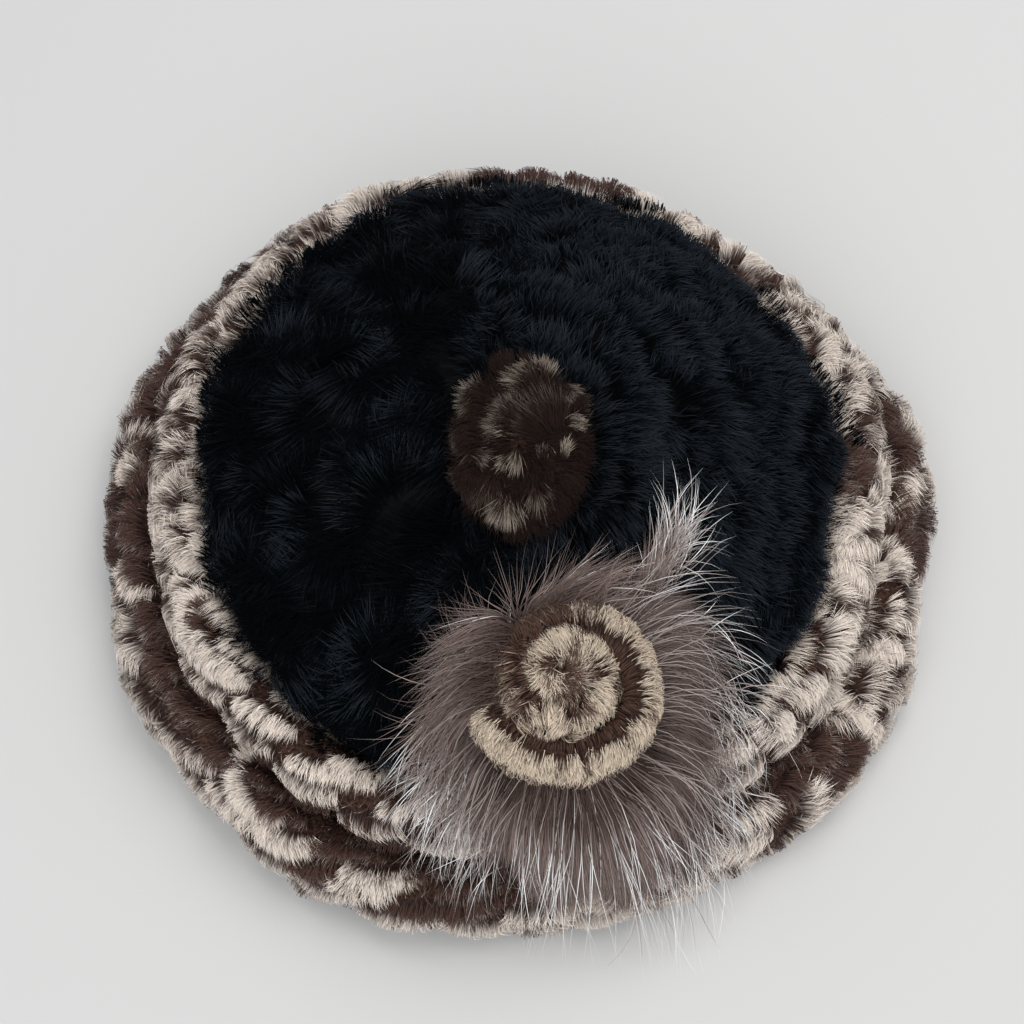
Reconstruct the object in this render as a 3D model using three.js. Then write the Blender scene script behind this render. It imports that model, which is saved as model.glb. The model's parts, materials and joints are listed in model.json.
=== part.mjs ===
// A fur tam: a wide soft crown of short black fur over a head opening, edged by two rolled rows of
// frosted brown fur, with a frosted patch on the middle of the crown and, on its front shoulder, an
// ornament made of a fan of long fox fur under a rolled rosette.
//
// Millimetres, +Z up, front at -Y. Every piece is first made for a neat, round hat. One function,
// settle, then gives them all the slack shape that the hat has as it lies: it leans back, its front
// is pressed down by the ornament, and its rim and crown have a few folds and dents. The pieces
// share that function, so their gaps stay as they are laid out.

import * as THREE from 'three';

// Sizes of the neat hat
const SEAT_GAP = 0.5; // between a piece and what it lies on
const TURN_STEPS = 52; // facets round the hat
const CROWN = {
  radius: 105.5, // to the edge of the black fur
  shoulder: 60, // height of the black fur at its edge
  height: 83, // height of the black fur at the middle
  flat: 34, // radius of the level middle
  fallEnd: 135.5, // where its slope would level out again
  wall: 13, // knitted base and its pile
  edge: 3.5, // depth of the rounded edge
};
const BAND = { inside: 84, wall: 3, low: 0.6, high: 25 };
const UNDERBRIM = { outerHeight: 11, height: 12.5, innerHeight: 7, slope: 4, foot: 2 };

// The rolled rows: middle and half width across the rim, lowest and highest point, and squareness
const LOWER_ROW = { middle: 127, halfWidth: 15.8, low: -1.2, high: 31, squareness: 2.3 };
const UPPER_ROW = { middle: 111, halfWidth: 13, low: 26.9, high: 54, squareness: 2.2 };
const ROW_CORNERS = 12;

// The way the hat lies
const LEAN = 8; // how far the crown's middle lies back
const PRESS = 0.09; // share by which the front is lower and the back higher
const ELONGATION = { crown: 1.04, rim: 0.99, from: 95, to: 145 }; // front to back against across
const PULL = { from: 60, to: 140 }; // radii between which a fold takes hold
const SINK = { from: 40, to: 66 }; // heights between which a dent takes hold

// Places where the rim is drawn in (reach below 0) or bulges; degrees from +X towards the back
const FOLDS = [
  { angle: 12, spread: 10, reach: 4.5 },
  { angle: 58, spread: 24, reach: -4.5 },
  { angle: 95, spread: 16, reach: -2 },
  { angle: 120, spread: 13, reach: 3.5 },
  { angle: 160, spread: 9, reach: 3.5 },
  { angle: 192, spread: 12, reach: -3 },
  { angle: 215, spread: 20, reach: 2 },
  { angle: 220, spread: 13, reach: -5 },
  { angle: 276, spread: 17, reach: -4 },
  { angle: 299, spread: 13, reach: -3.5 },
  { angle: 350, spread: 8, reach: -3.5 },
];

// Hollows (depth above 0) and swellings in the top of the crown
const DENTS = [
  { x: -62, y: 22, radius: 24, depth: 3.5 },
  { x: -34, y: 58, radius: 20, depth: -2.5 },
  { x: 30, y: 64, radius: 26, depth: -2 },
  { x: 50, y: 8, radius: 22, depth: 3 },
  { x: -44, y: -30, radius: 20, depth: -2.5 },
  { x: -14, y: -46, radius: 20, depth: 4 },
  { x: 78, y: -18, radius: 20, depth: -2 },
];

// The oval patch on the middle of the crown
const PATCH = { x: 1, y: -8, halfWidth: 24, halfLength: 30, height: 9, lift: 0.8, steps: 28 };

// The fox fan: where it is sewn on, its depth there and at its edge, and its reach to each side
const FAN = { x: 15, y: -91, depth: 11, edge: 3, thinFrom: 0.35, lift: 2, steps: 56, rings: 11 };
const FAN_REACH = [
  { angle: 0, reach: 64 },
  { angle: 28, reach: 58 },
  { angle: 42, reach: 68 },
  { angle: 58, reach: 84 },
  { angle: 72, reach: 58 },
  { angle: 92, reach: 40 },
  { angle: 122, reach: 40 },
  { angle: 150, reach: 54 },
  { angle: 180, reach: 60 },
  { angle: 215, reach: 66 },
  { angle: 245, reach: 52 },
  { angle: 270, reach: 47 },
  { angle: 300, reach: 54 },
  { angle: 330, reach: 70 },
  { angle: 360, reach: 64 },
];

// The rosette: one strip of frosted fur rolled inwards from its outer end, counterclockwise from above
const ROSETTE = {
  x: 17, y: -90, outerRadius: 31.5, acrossStretch: 1.15, pitch: 12, turns: 2, startAngle: 190,
  strip: 11.5, height: 16, squareness: 2.6, steps: 64, corners: 10,
};

const MATERIALS = {
  blackFur: { color: 0x14171a, roughness: 0.9 },
  frostedFur: { color: 0x9a8c80, roughness: 0.9 },
  foxFur: { color: 0x7d7272, roughness: 0.8 },
  knit: { color: 0x1b1b1e, roughness: 0.95 },
};

// From 0 to 1 between two values, level at both
const smooth = (value, from, to) => THREE.MathUtils.smoothstep(value, from, to);

const bell = (distance) => Math.exp(-distance * distance);

// Degrees from +X, from 0 up to 360
const bearing = (x, y) => (THREE.MathUtils.radToDeg(Math.atan2(y, x)) + 360) % 360;

const turnBetween = (a, b) => Math.abs(((a - b + 540) % 360) - 180);

// Value at a place between the points [place, value] of a line, and level past its ends
function along(line, place) {
  const next = line.findIndex(([at]) => at >= place);
  if (next < 0) return line[line.length - 1][1];
  if (next === 0) return line[0][1];
  const [[before, low], [after, high]] = [line[next - 1], line[next]];
  return THREE.MathUtils.mapLinear(place, before, after, low, high);
}

// Moves a point of the neat hat to where it lies on the slack one.
function settle(x, y, z) {
  const radius = Math.hypot(x, y);
  let push = 0;
  for (const fold of FOLDS) {
    push += fold.reach * bell(turnBetween(bearing(x, y), fold.angle) / fold.spread);
  }
  const stretch = radius > 0 ? 1 + (smooth(radius, PULL.from, PULL.to) * push) / radius : 1;
  const rimShare = smooth(radius, ELONGATION.from, ELONGATION.to);
  const length = y * stretch * THREE.MathUtils.lerp(ELONGATION.crown, ELONGATION.rim, rimShare);
  let height = z * (1 + (PRESS * length) / CROWN.radius);
  for (const dent of DENTS) {
    const share = bell(Math.hypot(x - dent.x, y - dent.y) / dent.radius);
    height -= dent.depth * share * smooth(z, SINK.from, SINK.to);
  }
  return [x * stretch, length + (LEAN * z) / CROWN.height, height];
}

// Moves each vertex by a function of x, y and z.
function reshape(geometry, move) {
  const { position } = geometry.attributes;
  for (let i = 0; i < position.count; i += 1) {
    position.setXYZ(i, ...move(position.getX(i), position.getY(i), position.getZ(i)));
  }
  geometry.computeVertexNormals();
  return geometry;
}

// A section of [radius, height] corners, counterclockwise, turned about +Z.
function turned(section, steps = TURN_STEPS) {
  const points = section.map(([radius, height]) => new THREE.Vector2(radius, height));
  return new THREE.LatheGeometry(points, steps).rotateX(Math.PI / 2);
}

const closed = (section) => [...section, section[0]];

// A section between round and square, counterclockwise from its right-hand side
function roundedSection({ middle, halfWidth, low, high, squareness }, corners) {
  const round = (value) => Math.sign(value) * Math.abs(value) ** (2 / squareness);
  const halfHeight = (high - low) / 2;
  return Array.from({ length: corners }, (_, corner) => {
    const angle = (2 * Math.PI * (corner + 0.5)) / corners;
    const height = low + halfHeight * (1 + round(Math.sin(angle)));
    return [middle + halfWidth * round(Math.cos(angle)), height];
  });
}

// A row's section; what would lie under the table is pressed flat on it.
function rowSection(row) {
  return roundedSection(row, ROW_CORNERS).map(([radius, height]) => [radius, Math.max(0, height)]);
}

// The highest point of a closed section at a distance from the middle, or nothing beside it
function topOfSection(section, radius) {
  let top = -Infinity;
  section.forEach(([r0, z0], i) => {
    const [r1, z1] = section[(i + 1) % section.length];
    if ((radius - r0) * (radius - r1) <= 0 && r0 !== r1) {
      top = Math.max(top, THREE.MathUtils.mapLinear(radius, r0, r1, z0, z1));
    }
  });
  return top;
}

// Height of the black fur at a distance from the middle
function crownTop(radius) {
  const fall = (distance) => smooth(distance, CROWN.flat, CROWN.fallEnd);
  return CROWN.height - ((CROWN.height - CROWN.shoulder) * fall(radius)) / fall(CROWN.radius);
}

// The edge of the crown lies on the inner shoulder of the upper row.
function crownSection(upperRow) {
  const rim = CROWN.radius - 1.5;
  const inside = [0, 20, 38, 56, 72, 86, 95];
  const outside = [CROWN.radius - CROWN.edge, 96, 86, 74, 62, 48, CROWN.flat, 18, 0];
  const rowMiddle = (UPPER_ROW.low + UPPER_ROW.high) / 2;
  const shoulder = upperRow.filter(([radius, z]) => radius < rim && z > rowMiddle).reverse();
  return [
    ...inside.map((radius) => [radius, crownTop(radius) - CROWN.wall]),
    ...shoulder.map(([radius, z]) => [radius - SEAT_GAP, z + SEAT_GAP]),
    [rim, topOfSection(upperRow, rim) + SEAT_GAP],
    [CROWN.radius, CROWN.shoulder - CROWN.edge],
    ...outside.map((radius) => [radius, crownTop(radius)]),
  ];
}

function underbrimSection(lowerRow) {
  const { outerHeight, height, innerHeight, slope, foot } = UNDERBRIM;
  const inner = BAND.inside + BAND.wall + SEAT_GAP;
  const outer = Math.min(...lowerRow.map(([radius]) => radius)) - SEAT_GAP;
  return [
    [inner, 0], [outer - foot, 0], [outer, 2 * foot], [outer, outerHeight],
    [outer - slope, height], [inner + slope, innerHeight + slope / 2], [inner, innerHeight],
  ];
}

function bandSection() {
  const { inside, wall, low, high } = BAND;
  return [[inside, low], [inside + wall, low], [inside + wall, high], [inside, high]];
}

function patchGeometry() {
  const { x, y, halfWidth, halfLength, height, lift, steps } = PATCH;
  const base = CROWN.height + lift;
  const section = [
    [0, 0], [0.5, 0], [0.92, 0], [1, 0.35], [0.86, 0.75], [0.5, 1], [0, 1],
  ];
  return turned(section, steps).scale(halfWidth, halfLength, height).translate(x, y, base);
}

// The line that a blanket takes over pieces: their tops, with the grooves between them bridged.
function blanketLine(sections) {
  const last = LOWER_ROW.middle + LOWER_ROW.halfWidth - 1;
  const line = [];
  for (let radius = 0; radius <= last; radius += 2) {
    const top = Math.max(...sections.map((section) => topOfSection(section, radius)));
    while (line.length > 1) {
      const [[r0, z0], [r1, z1]] = line.slice(-2);
      if ((z1 - z0) * (radius - r0) > (top - z0) * (r1 - r0)) break;
      line.pop();
    }
    line.push([radius, top]);
  }
  return line;
}

// How far the fan reaches from its root towards a bearing
function fanReach(angle) {
  const next = FAN_REACH.findIndex((row) => row.angle > angle);
  const [before, after] = [FAN_REACH[next - 1], FAN_REACH[next]];
  const share = smooth(angle, before.angle, after.angle);
  return THREE.MathUtils.lerp(before.reach, after.reach, share);
}

// The fan's underside and top, as heights over a place on the neat hat
function fanSurfaces(blanket) {
  const under = (x, y) => along(blanket, Math.hypot(x, y)) + FAN.lift;
  const over = (x, y) => {
    const out = Math.hypot(x - FAN.x, y - FAN.y) / fanReach(bearing(x - FAN.x, y - FAN.y));
    return under(x, y) + THREE.MathUtils.lerp(FAN.depth, FAN.edge, smooth(out, FAN.thinFrom, 1));
  };
  return { under, over };
}

// A disc with two faces, its radius 1, stretched to the fan's reach and laid on the blanket's line
function fanGeometry({ under, over }) {
  const { rings, steps } = FAN;
  const shares = Array.from({ length: rings + 1 }, (_, ring) => ring / rings);
  const section = [
    ...shares.map((share) => [share, 0]),
    ...shares.reverse().map((share) => [share, 1]),
  ];
  return reshape(turned(section, steps), (x, y, side) => {
    const reach = fanReach(bearing(x, y));
    const [px, py] = [FAN.x + reach * x, FAN.y + reach * y];
    return [px, py, side > 0.5 ? over(px, py) : under(px, py)];
  });
}

class Spiral extends THREE.Curve {
  getPoint(t, target = new THREE.Vector3()) {
    const { outerRadius, strip, pitch, turns, startAngle, acrossStretch } = ROSETTE;
    const angle = THREE.MathUtils.degToRad(startAngle) + 2 * Math.PI * turns * t;
    const radius = outerRadius - strip / 2 - pitch * turns * t;
    return target.set(acrossStretch * radius * Math.cos(angle), radius * Math.sin(angle), 0);
  }
}

// The rolled strip stands on the top of the fan.
function rosetteGeometry(over) {
  const { x, y, strip, height, squareness, steps, corners } = ROSETTE;
  const row = { middle: 0, halfWidth: strip / 2, low: 0, high: height, squareness };
  const points = roundedSection(row, corners).map(([across, up]) => new THREE.Vector2(-up, across));
  const section = new THREE.Shape(points);
  const roll = new THREE.ExtrudeGeometry(section, { steps, extrudePath: new Spiral() });
  return reshape(roll.translate(x, y, SEAT_GAP), (px, py, pz) => [px, py, pz + over(px, py)]);
}

function piece(name, geometry, material) {
  const mesh = new THREE.Mesh(reshape(geometry, settle), new THREE.MeshStandardMaterial(material));
  mesh.name = name;
  return mesh;
}

const lowerRow = rowSection(LOWER_ROW);
const upperRow = rowSection(UPPER_ROW);
const crown = crownSection(upperRow);
const fan = fanSurfaces(blanketLine([crown, upperRow, lowerRow]));

const tam = new THREE.Group();
tam.add(
  piece('crown', turned(crown), MATERIALS.blackFur),
  piece('crown_patch', patchGeometry(), MATERIALS.frostedFur),
  piece('upper_row', turned(closed(upperRow)), MATERIALS.frostedFur),
  piece('lower_row', turned(closed(lowerRow)), MATERIALS.frostedFur),
  piece('underbrim', turned(closed(underbrimSection(lowerRow))), MATERIALS.frostedFur),
  piece('head_band', turned(closed(bandSection())), MATERIALS.knit),
  piece('fox_fan', fanGeometry(fan), MATERIALS.foxFur),
  piece('rosette', rosetteGeometry(fan.over), MATERIALS.frostedFur),
);

// The origin is on the table, under the middle of the hat's outer size.
const bounds = new THREE.Box3().setFromObject(tam);
const centre = bounds.getCenter(new THREE.Vector3());
tam.position.set(-centre.x, -centre.y, -bounds.min.z);

export default tam;
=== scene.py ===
"""Fur tam: a slack crown of black fur, a rim of two rolled rows of frosted brown fur, a frosted
patch on the crown, and an ornament of long fox fur under a rolled rosette.

Each furry piece is a plain body with a coat of separate hairs on it. Lengths are millimetres of
the neat, round hat; the Slack class gives them the shape that the hat has as it lies. Bearings
are degrees counterclockwise from +X, seen from above.
"""

import json
import logging
import math
from dataclasses import dataclass, fields, replace
from enum import Enum, IntEnum
from typing import Callable, Protocol

import bmesh
import bpy
import numpy as np
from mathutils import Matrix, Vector

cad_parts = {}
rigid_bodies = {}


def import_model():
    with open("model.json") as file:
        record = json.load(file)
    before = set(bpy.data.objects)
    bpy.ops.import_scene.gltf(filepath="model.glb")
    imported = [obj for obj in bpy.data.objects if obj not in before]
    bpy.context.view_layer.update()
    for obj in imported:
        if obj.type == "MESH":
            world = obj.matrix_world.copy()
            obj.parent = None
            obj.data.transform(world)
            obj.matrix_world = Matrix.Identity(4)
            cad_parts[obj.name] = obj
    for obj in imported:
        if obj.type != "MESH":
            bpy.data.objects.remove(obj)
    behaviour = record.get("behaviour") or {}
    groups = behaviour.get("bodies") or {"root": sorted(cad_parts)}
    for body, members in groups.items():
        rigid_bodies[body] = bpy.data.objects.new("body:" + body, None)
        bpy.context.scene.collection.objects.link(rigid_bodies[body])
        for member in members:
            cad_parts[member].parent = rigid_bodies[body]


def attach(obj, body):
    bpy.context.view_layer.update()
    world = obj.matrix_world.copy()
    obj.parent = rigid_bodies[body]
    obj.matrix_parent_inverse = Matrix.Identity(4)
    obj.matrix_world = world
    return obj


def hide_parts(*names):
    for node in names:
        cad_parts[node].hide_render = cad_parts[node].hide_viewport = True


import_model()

logging.basicConfig(level=logging.INFO, format="%(message)s")
LOG = logging.getLogger("tam")

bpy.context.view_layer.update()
BAKE_UV = "OFBake"
MM = 0.001
TONES = 64  # columns of the hair colour chart
LEAST_HEIGHT = 0.3  # of anything on the hat over the floor
TINY = 1e-6

Array = np.ndarray


# Small mathematics


def smooth(value: Array | float, low: float, high: float) -> Array:
    """Rise from 0 at the low value to 1 at the high one, level at both."""
    share = np.clip((value - low) / (high - low), 0, 1)
    return share * share * (3 - 2 * share)


def unit(vectors: Array) -> Array:
    """Give vectors (rows) the length 1."""
    return vectors / np.maximum(np.linalg.norm(vectors, axis=-1, keepdims=True), 1e-9)


def column(values: Array) -> Array:
    """Turn a row of numbers into a column that multiplies vectors."""
    return np.asarray(values)[:, None]


def turn_between(a: Array, b: float) -> Array:
    """Give the degrees between bearings, from 0 to 180."""
    return np.abs((a - b + 540) % 360 - 180)


@dataclass(frozen=True)
class Waves:
    """Gentle seeded unevenness over a plane, from -1 to 1.

    Attributes:
        seed: Seed of the waves.
        size: Length of the longest wave, in millimetres.
        count: Number of waves.
    """

    seed: int
    size: float
    count: int = 9

    def at(self, x: Array, y: Array) -> Array:
        """Give the height of the waves.

        Args:
            x: Places along the first axis.
            y: Places along the second axis.

        Returns:
            Values mostly between -1 and 1.
        """
        rng = np.random.default_rng(self.seed)
        total = np.zeros_like(x, dtype=float)
        for _ in range(self.count):
            way = rng.uniform(0, 2 * math.pi)
            length = self.size * rng.uniform(0.45, 1)
            phase = rng.uniform(0, 2 * math.pi)
            total += np.sin((x * math.cos(way) + y * math.sin(way)) * 2 * math.pi / length + phase)
        return total / math.sqrt(self.count)


# The neat hat and its slack shape


@dataclass(frozen=True)
class CrownShape:
    """The top of the black fur on the neat hat.

    Attributes:
        radius: Distance of its edge from the hat's middle.
        top: Height at the middle.
        shoulder: Height at the edge.
        flat: Radius of the level middle.
        fall_end: Distance where the slope would level out again.
    """

    radius: float = 105.5
    top: float = 83.0
    shoulder: float = 60.0
    flat: float = 34.0
    fall_end: float = 135.5

    def height(self, radius: Array) -> Array:
        """Give the height of the fur at distances from the hat's middle."""
        fall, edge = (smooth(place, self.flat, self.fall_end) for place in (radius, self.radius))
        return self.top - (self.top - self.shoulder) * fall / edge


@dataclass(frozen=True)
class RowShape:
    """The section of a rolled row on the neat hat.

    Attributes:
        middle: Radius of the row's middle.
        half: Half its width.
        low: Its lowest height.
        high: Its highest height.
        power: Squareness of the section, 2 for an ellipse.
    """

    middle: float
    half: float
    low: float
    high: float
    power: float


CROWN = CrownShape()
UPPER = RowShape(111, 13, 26.9, 54, 2.2)
LOWER = RowShape(127, 15.8, -1.2, 31, 2.3)


@dataclass(frozen=True)
class Slack:
    """The shape that the neat hat takes as it lies.

    Attributes:
        folds: Bearing, spread and reach of each place where the rim bulges or is drawn in.
        dents: Place, radius and depth of each hollow in the top.
        pull: Distances from the middle between which a fold takes hold.
        sink: Heights between which a dent takes hold.
        rim: Distances between which the crown's length gives way to the rim's.
        length: Length of the crown, front to back, as a share of its width.
        shorter: By how much that share is smaller at the rim.
        lean: How far back the crown's middle lies.
        press: Share by which the front is lower and the back higher.
        shift: Move that puts the hat's middle over the origin.
    """

    folds: tuple = (
        (12, 10, 4.5), (58, 24, -4.5), (95, 16, -2), (120, 13, 3.5), (160, 9, 3.5),
        (192, 12, -3), (215, 20, 2), (220, 13, -5), (276, 17, -4), (299, 13, -3.5), (350, 8, -3.5),
    )
    dents: tuple = (
        (-62, 22, 24, 3.5), (-34, 58, 20, -2.5), (30, 64, 26, -2), (50, 8, 22, 3),
        (-44, -30, 20, -2.5), (-14, -46, 20, 4), (78, -18, 20, -2),
    )
    pull: tuple = (60, 140)
    sink: tuple = (40, 66)
    rim: tuple = (95, 145)
    length: float = 1.04
    shorter: float = 0.05
    lean: float = 8
    press: float = 0.09
    shift: tuple = (-1.5834, -1.7847, 0.0)

    def settle(self, points: Array) -> Array:
        """Move points of the neat hat to where they lie.

        Args:
            points: Rows of x, y and z.

        Returns:
            The moved points.
        """
        x, y, z = points.T
        radius = np.maximum(np.hypot(x, y), TINY)
        bearing = np.degrees(np.arctan2(y, x)) % 360
        push = np.zeros_like(radius)
        for angle, spread, reach in self.folds:
            push += reach * np.exp(-((turn_between(bearing, angle) / spread) ** 2))
        stretch = 1 + smooth(radius, *self.pull) * push / radius
        length = y * stretch * (self.length - self.shorter * smooth(radius, *self.rim))
        height = z * (1 + self.press * length / CROWN.radius)
        for dent_x, dent_y, size, depth in self.dents:
            share = np.exp(-((x - dent_x) ** 2 + (y - dent_y) ** 2) / size**2)
            height = height - depth * share * smooth(z, *self.sink)
        back = length + self.lean * z / CROWN.top
        moved = np.stack([x * stretch, back, height], axis=1)
        return moved + np.array(self.shift)


SLACK = Slack()


# Surfaces that fur grows on


class Skin(Protocol):
    """A surface with two coordinates in millimetres.

    Attributes:
        facing: 1 or -1, the side of its two directions on which it faces out.
    """

    facing: int

    def place(self, a: Array, b: Array) -> Array:
        """Give the settled points at the coordinates."""


NORMAL_STEP = 0.6  # half the distance over which a surface's slope is measured


def normals(skin: Skin, a: Array, b: Array) -> Array:
    """Find which way a surface faces.

    Args:
        skin: The surface.
        a: First coordinates.
        b: Second coordinates.

    Returns:
        Unit vectors that point out of the surface.
    """
    along_a = skin.place(a + NORMAL_STEP, b) - skin.place(a - NORMAL_STEP, b)
    along_b = skin.place(a, b + NORMAL_STEP) - skin.place(a, b - NORMAL_STEP)
    return skin.facing * unit(np.cross(along_a, along_b))


SECTION_STEPS = 49
SECTION_FOOT = 0.45  # how far down its sides a section is rounded, in half turns
SECTION_LOW = 0.8  # least height of a section


def rounded_section(shape: RowShape) -> Array:
    """Draw a soft section, from its inner foot over the top to its outer foot.

    Args:
        shape: Its measures.

    Returns:
        Rows of distance and height.
    """
    angle = np.linspace(-SECTION_FOOT * math.pi, (1 + SECTION_FOOT) * math.pi, SECTION_STEPS)[::-1]
    across = np.sign(np.cos(angle)) * np.abs(np.cos(angle)) ** (2 / shape.power)
    up = np.sign(np.sin(angle)) * np.abs(np.sin(angle)) ** (2 / shape.power)
    heights = np.maximum(shape.low + (shape.high - shape.low) / 2 * (1 + up), SECTION_LOW)
    return np.stack([shape.middle + shape.half * across, heights], axis=1)


def way_along(points: Array) -> Array:
    """Measure the way from the first of some points along the line to each of them."""
    return np.concatenate([[0], np.cumsum(np.hypot(*np.diff(points, axis=0).T))])


@dataclass
class RingSkin:
    """A section turned about the hat's axis: a runs counterclockwise, b runs over the section.

    Attributes:
        section: Rows of radius and height.
        middle: Radius at which a is measured.
        facing: Side on which it faces out.
    """

    section: Array
    middle: float
    facing: int = -1

    def __post_init__(self) -> None:
        """Measure the way along the section."""
        self.way = way_along(self.section)

    def place(self, a: Array, b: Array) -> Array:
        """Give the settled points at coordinates.

        Args:
            a: Ways round the hat.
            b: Ways over the section.

        Returns:
            The points.
        """
        radius, height = (np.interp(b, self.way, values) for values in self.section.T)
        angle = a / self.middle
        return SLACK.settle(np.stack([radius * np.cos(angle), radius * np.sin(angle), height], axis=1))


@dataclass
class HeightSkin:
    """A surface given by its height over the plane of the neat hat.

    Attributes:
        height: Height at x and y.
        facing: Side on which it faces out.
    """

    height: Callable[[Array, Array], Array]
    facing: int = 1

    def place(self, a: Array, b: Array) -> Array:
        """Give the settled points at the coordinates."""
        return SLACK.settle(np.stack([a, b, self.height(a, b)], axis=1))


# Hair


class Chance(IntEnum):
    """Seeds of the tables that give each lock, tuft or wisp a value of its own."""

    LOCK_TURN = 7
    LOCK_TONE = 8
    FAN_TURN = 9
    FAN_TONE = 10
    TUFT_HEIGHT = 11
    WISP_LENGTH = 12
    WISP_TONE = 13

    def table(self) -> np.random.Generator:
        """Start the table's source of chance."""
        return np.random.default_rng(self.value)


def own_value(table: Array, number: Array, stride: int = 1) -> Array:
    """Look up the value that belongs to each whole number, such as that of a lock."""
    return table[(number.astype(int) * stride) % len(table)]


@dataclass(frozen=True)
class Blade:
    """The shape of a hair.

    Attributes:
        segments: Parts along it.
        width: Its width.
        roll: Radians by which it is turned about itself.
        sink: Power with which a long hair sinks from its rise to its tip, or 0 if it bends over.
    """

    segments: int = 2
    width: float = 0.5
    roll: float = 0.6
    sink: float = 0.0


@dataclass(frozen=True)
class Coat:
    """How the hairs of a coat stand.

    Attributes:
        rise: Height of a hair's bend over the skin.
        tip: Height of its tip.
        width: Width of a hair.
        thickness: Depth of the line of roots.
        lock: Size of the locks in which hairs gather.
        gather: How far they gather, from 0 to 1.
        scatter: Degrees by which each hair strays.
        lock_scatter: Degrees by which each lock strays.
        curl: Radians by which a hair turns.
        tone_scatter: Spread of the tone.
        roll: Radians by which a hair is turned about itself.
        lock_tone: Spread of the tone from lock to lock.
        puff: Spread of the height from tuft to tuft.
    """

    rise: float = 4.5
    tip: float = 4.0
    width: float = 0.5
    thickness: float = 0.9
    lock: float = 2.2
    gather: float = 0.7
    scatter: float = 7
    lock_scatter: float = 8
    curl: float = 0.25
    tone_scatter: float = 0.1
    roll: float = 0.6
    lock_tone: float = 0.0
    puff: float = 0.0

    def blade(self) -> Blade:
        """Give the shape of one hair."""
        return Blade(width=self.width, roll=self.roll)


@dataclass
class Hairs:
    """Hairs on a skin, one row each.

    Attributes:
        a: First coordinate of the root.
        b: Second coordinate of the root.
        heading: Direction in the skin, in radians from a towards b.
        length: Length.
        rise: Height of the bend over the skin.
        tip: Height of the tip over the skin.
        tone: Paleness from 0 to 1.
        curl: Turn of the heading from root to tip, in radians.
        drift: Sideways move of the tip, which gathers hairs in locks.
    """

    a: Array
    b: Array
    heading: Array
    length: Array
    rise: Array
    tip: Array
    tone: Array
    curl: Array
    drift: Array | float = 0.0


@dataclass
class Tufts:
    """Fringes of hair: each stands on a short line, and its hairs fall to one side of it.

    Attributes:
        a: First coordinate of the line's middle.
        b: Second coordinate of the line's middle.
        axis: Direction of the line, in degrees from a towards b.
        size: Length of the line.
        hair: Length of the hairs.
        tone: Paleness from 0 to 1.
        side: 1 where the hairs fall to the left of the line, -1 to the right.
        fan: Degrees by which the hairs spread at the line's ends.
        bend: Degrees by which the line turns.
        skew: Degrees by which the hairs lean along the line.
    """

    a: Array
    b: Array
    axis: Array
    size: Array
    hair: Array
    tone: Array
    side: Array
    fan: Array
    bend: Array
    skew: Array

    def hairs(self, rng: np.random.Generator, count: int, coat: Coat) -> Hairs:
        """Plant hairs on the lines.

        Args:
            rng: Source of chance.
            count: Number of hairs on all the lines.
            coat: How the hairs stand.

        Returns:
            The hairs.
        """
        locks_a_tuft, table_size = 97, 4096
        weight = self.size * np.sqrt(self.hair)
        which = rng.choice(len(self.a), size=count, p=weight / weight.sum())
        share = rng.uniform(-0.5, 0.5, count)  # place along the line
        size = self.size[which]
        side = self.side[which]

        # Hairs gather towards the middle of their lock
        lock = np.round(share * size / coat.lock) * coat.lock
        drift = side * (lock - share * size) * coat.gather * rng.uniform(0.4, 1, count)
        code = which * locks_a_tuft + np.round(lock / coat.lock).astype(int)
        lock_turn = own_value(Chance.LOCK_TURN.table().normal(0, coat.lock_scatter, table_size), code)
        lock_tone = own_value(Chance.LOCK_TONE.table().exponential(coat.lock_tone, table_size), code)
        puff = Chance.TUFT_HEIGHT.table().uniform(1 - coat.puff, 1 + coat.puff, len(self.a))[which]

        # Roots stand along the bent line
        depth = rng.normal(0, coat.thickness, count)
        axis = np.radians(self.axis[which])
        bend = np.radians(self.bend[which])
        across = bend * share**2 * size / 2 + depth
        a = self.a[which] + share * size * np.cos(axis) - across * np.sin(axis)
        b = self.b[which] + share * size * np.sin(axis) + across * np.cos(axis)

        fall = 90 - self.fan[which] * 2 * share
        heading = axis + bend * share + np.radians(side * fall + self.skew[which])
        heading = heading + np.radians(lock_turn + rng.normal(0, coat.scatter, count))
        length = self.hair[which] * rng.uniform(0.72, 1.1, count) * (1 - 0.5 * np.abs(share) ** 2)
        lift = rng.uniform(0.65, 1.25, count) * (1 - 2.0 * share**2) * puff
        tone = self.tone[which] + coat.lock_tone / 2 - lock_tone + rng.normal(0, coat.tone_scatter, count)
        curl = rng.normal(0, coat.curl, count)
        return Hairs(a, b, heading, length, coat.rise * lift, coat.tip * lift, tone, curl, drift)


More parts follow.
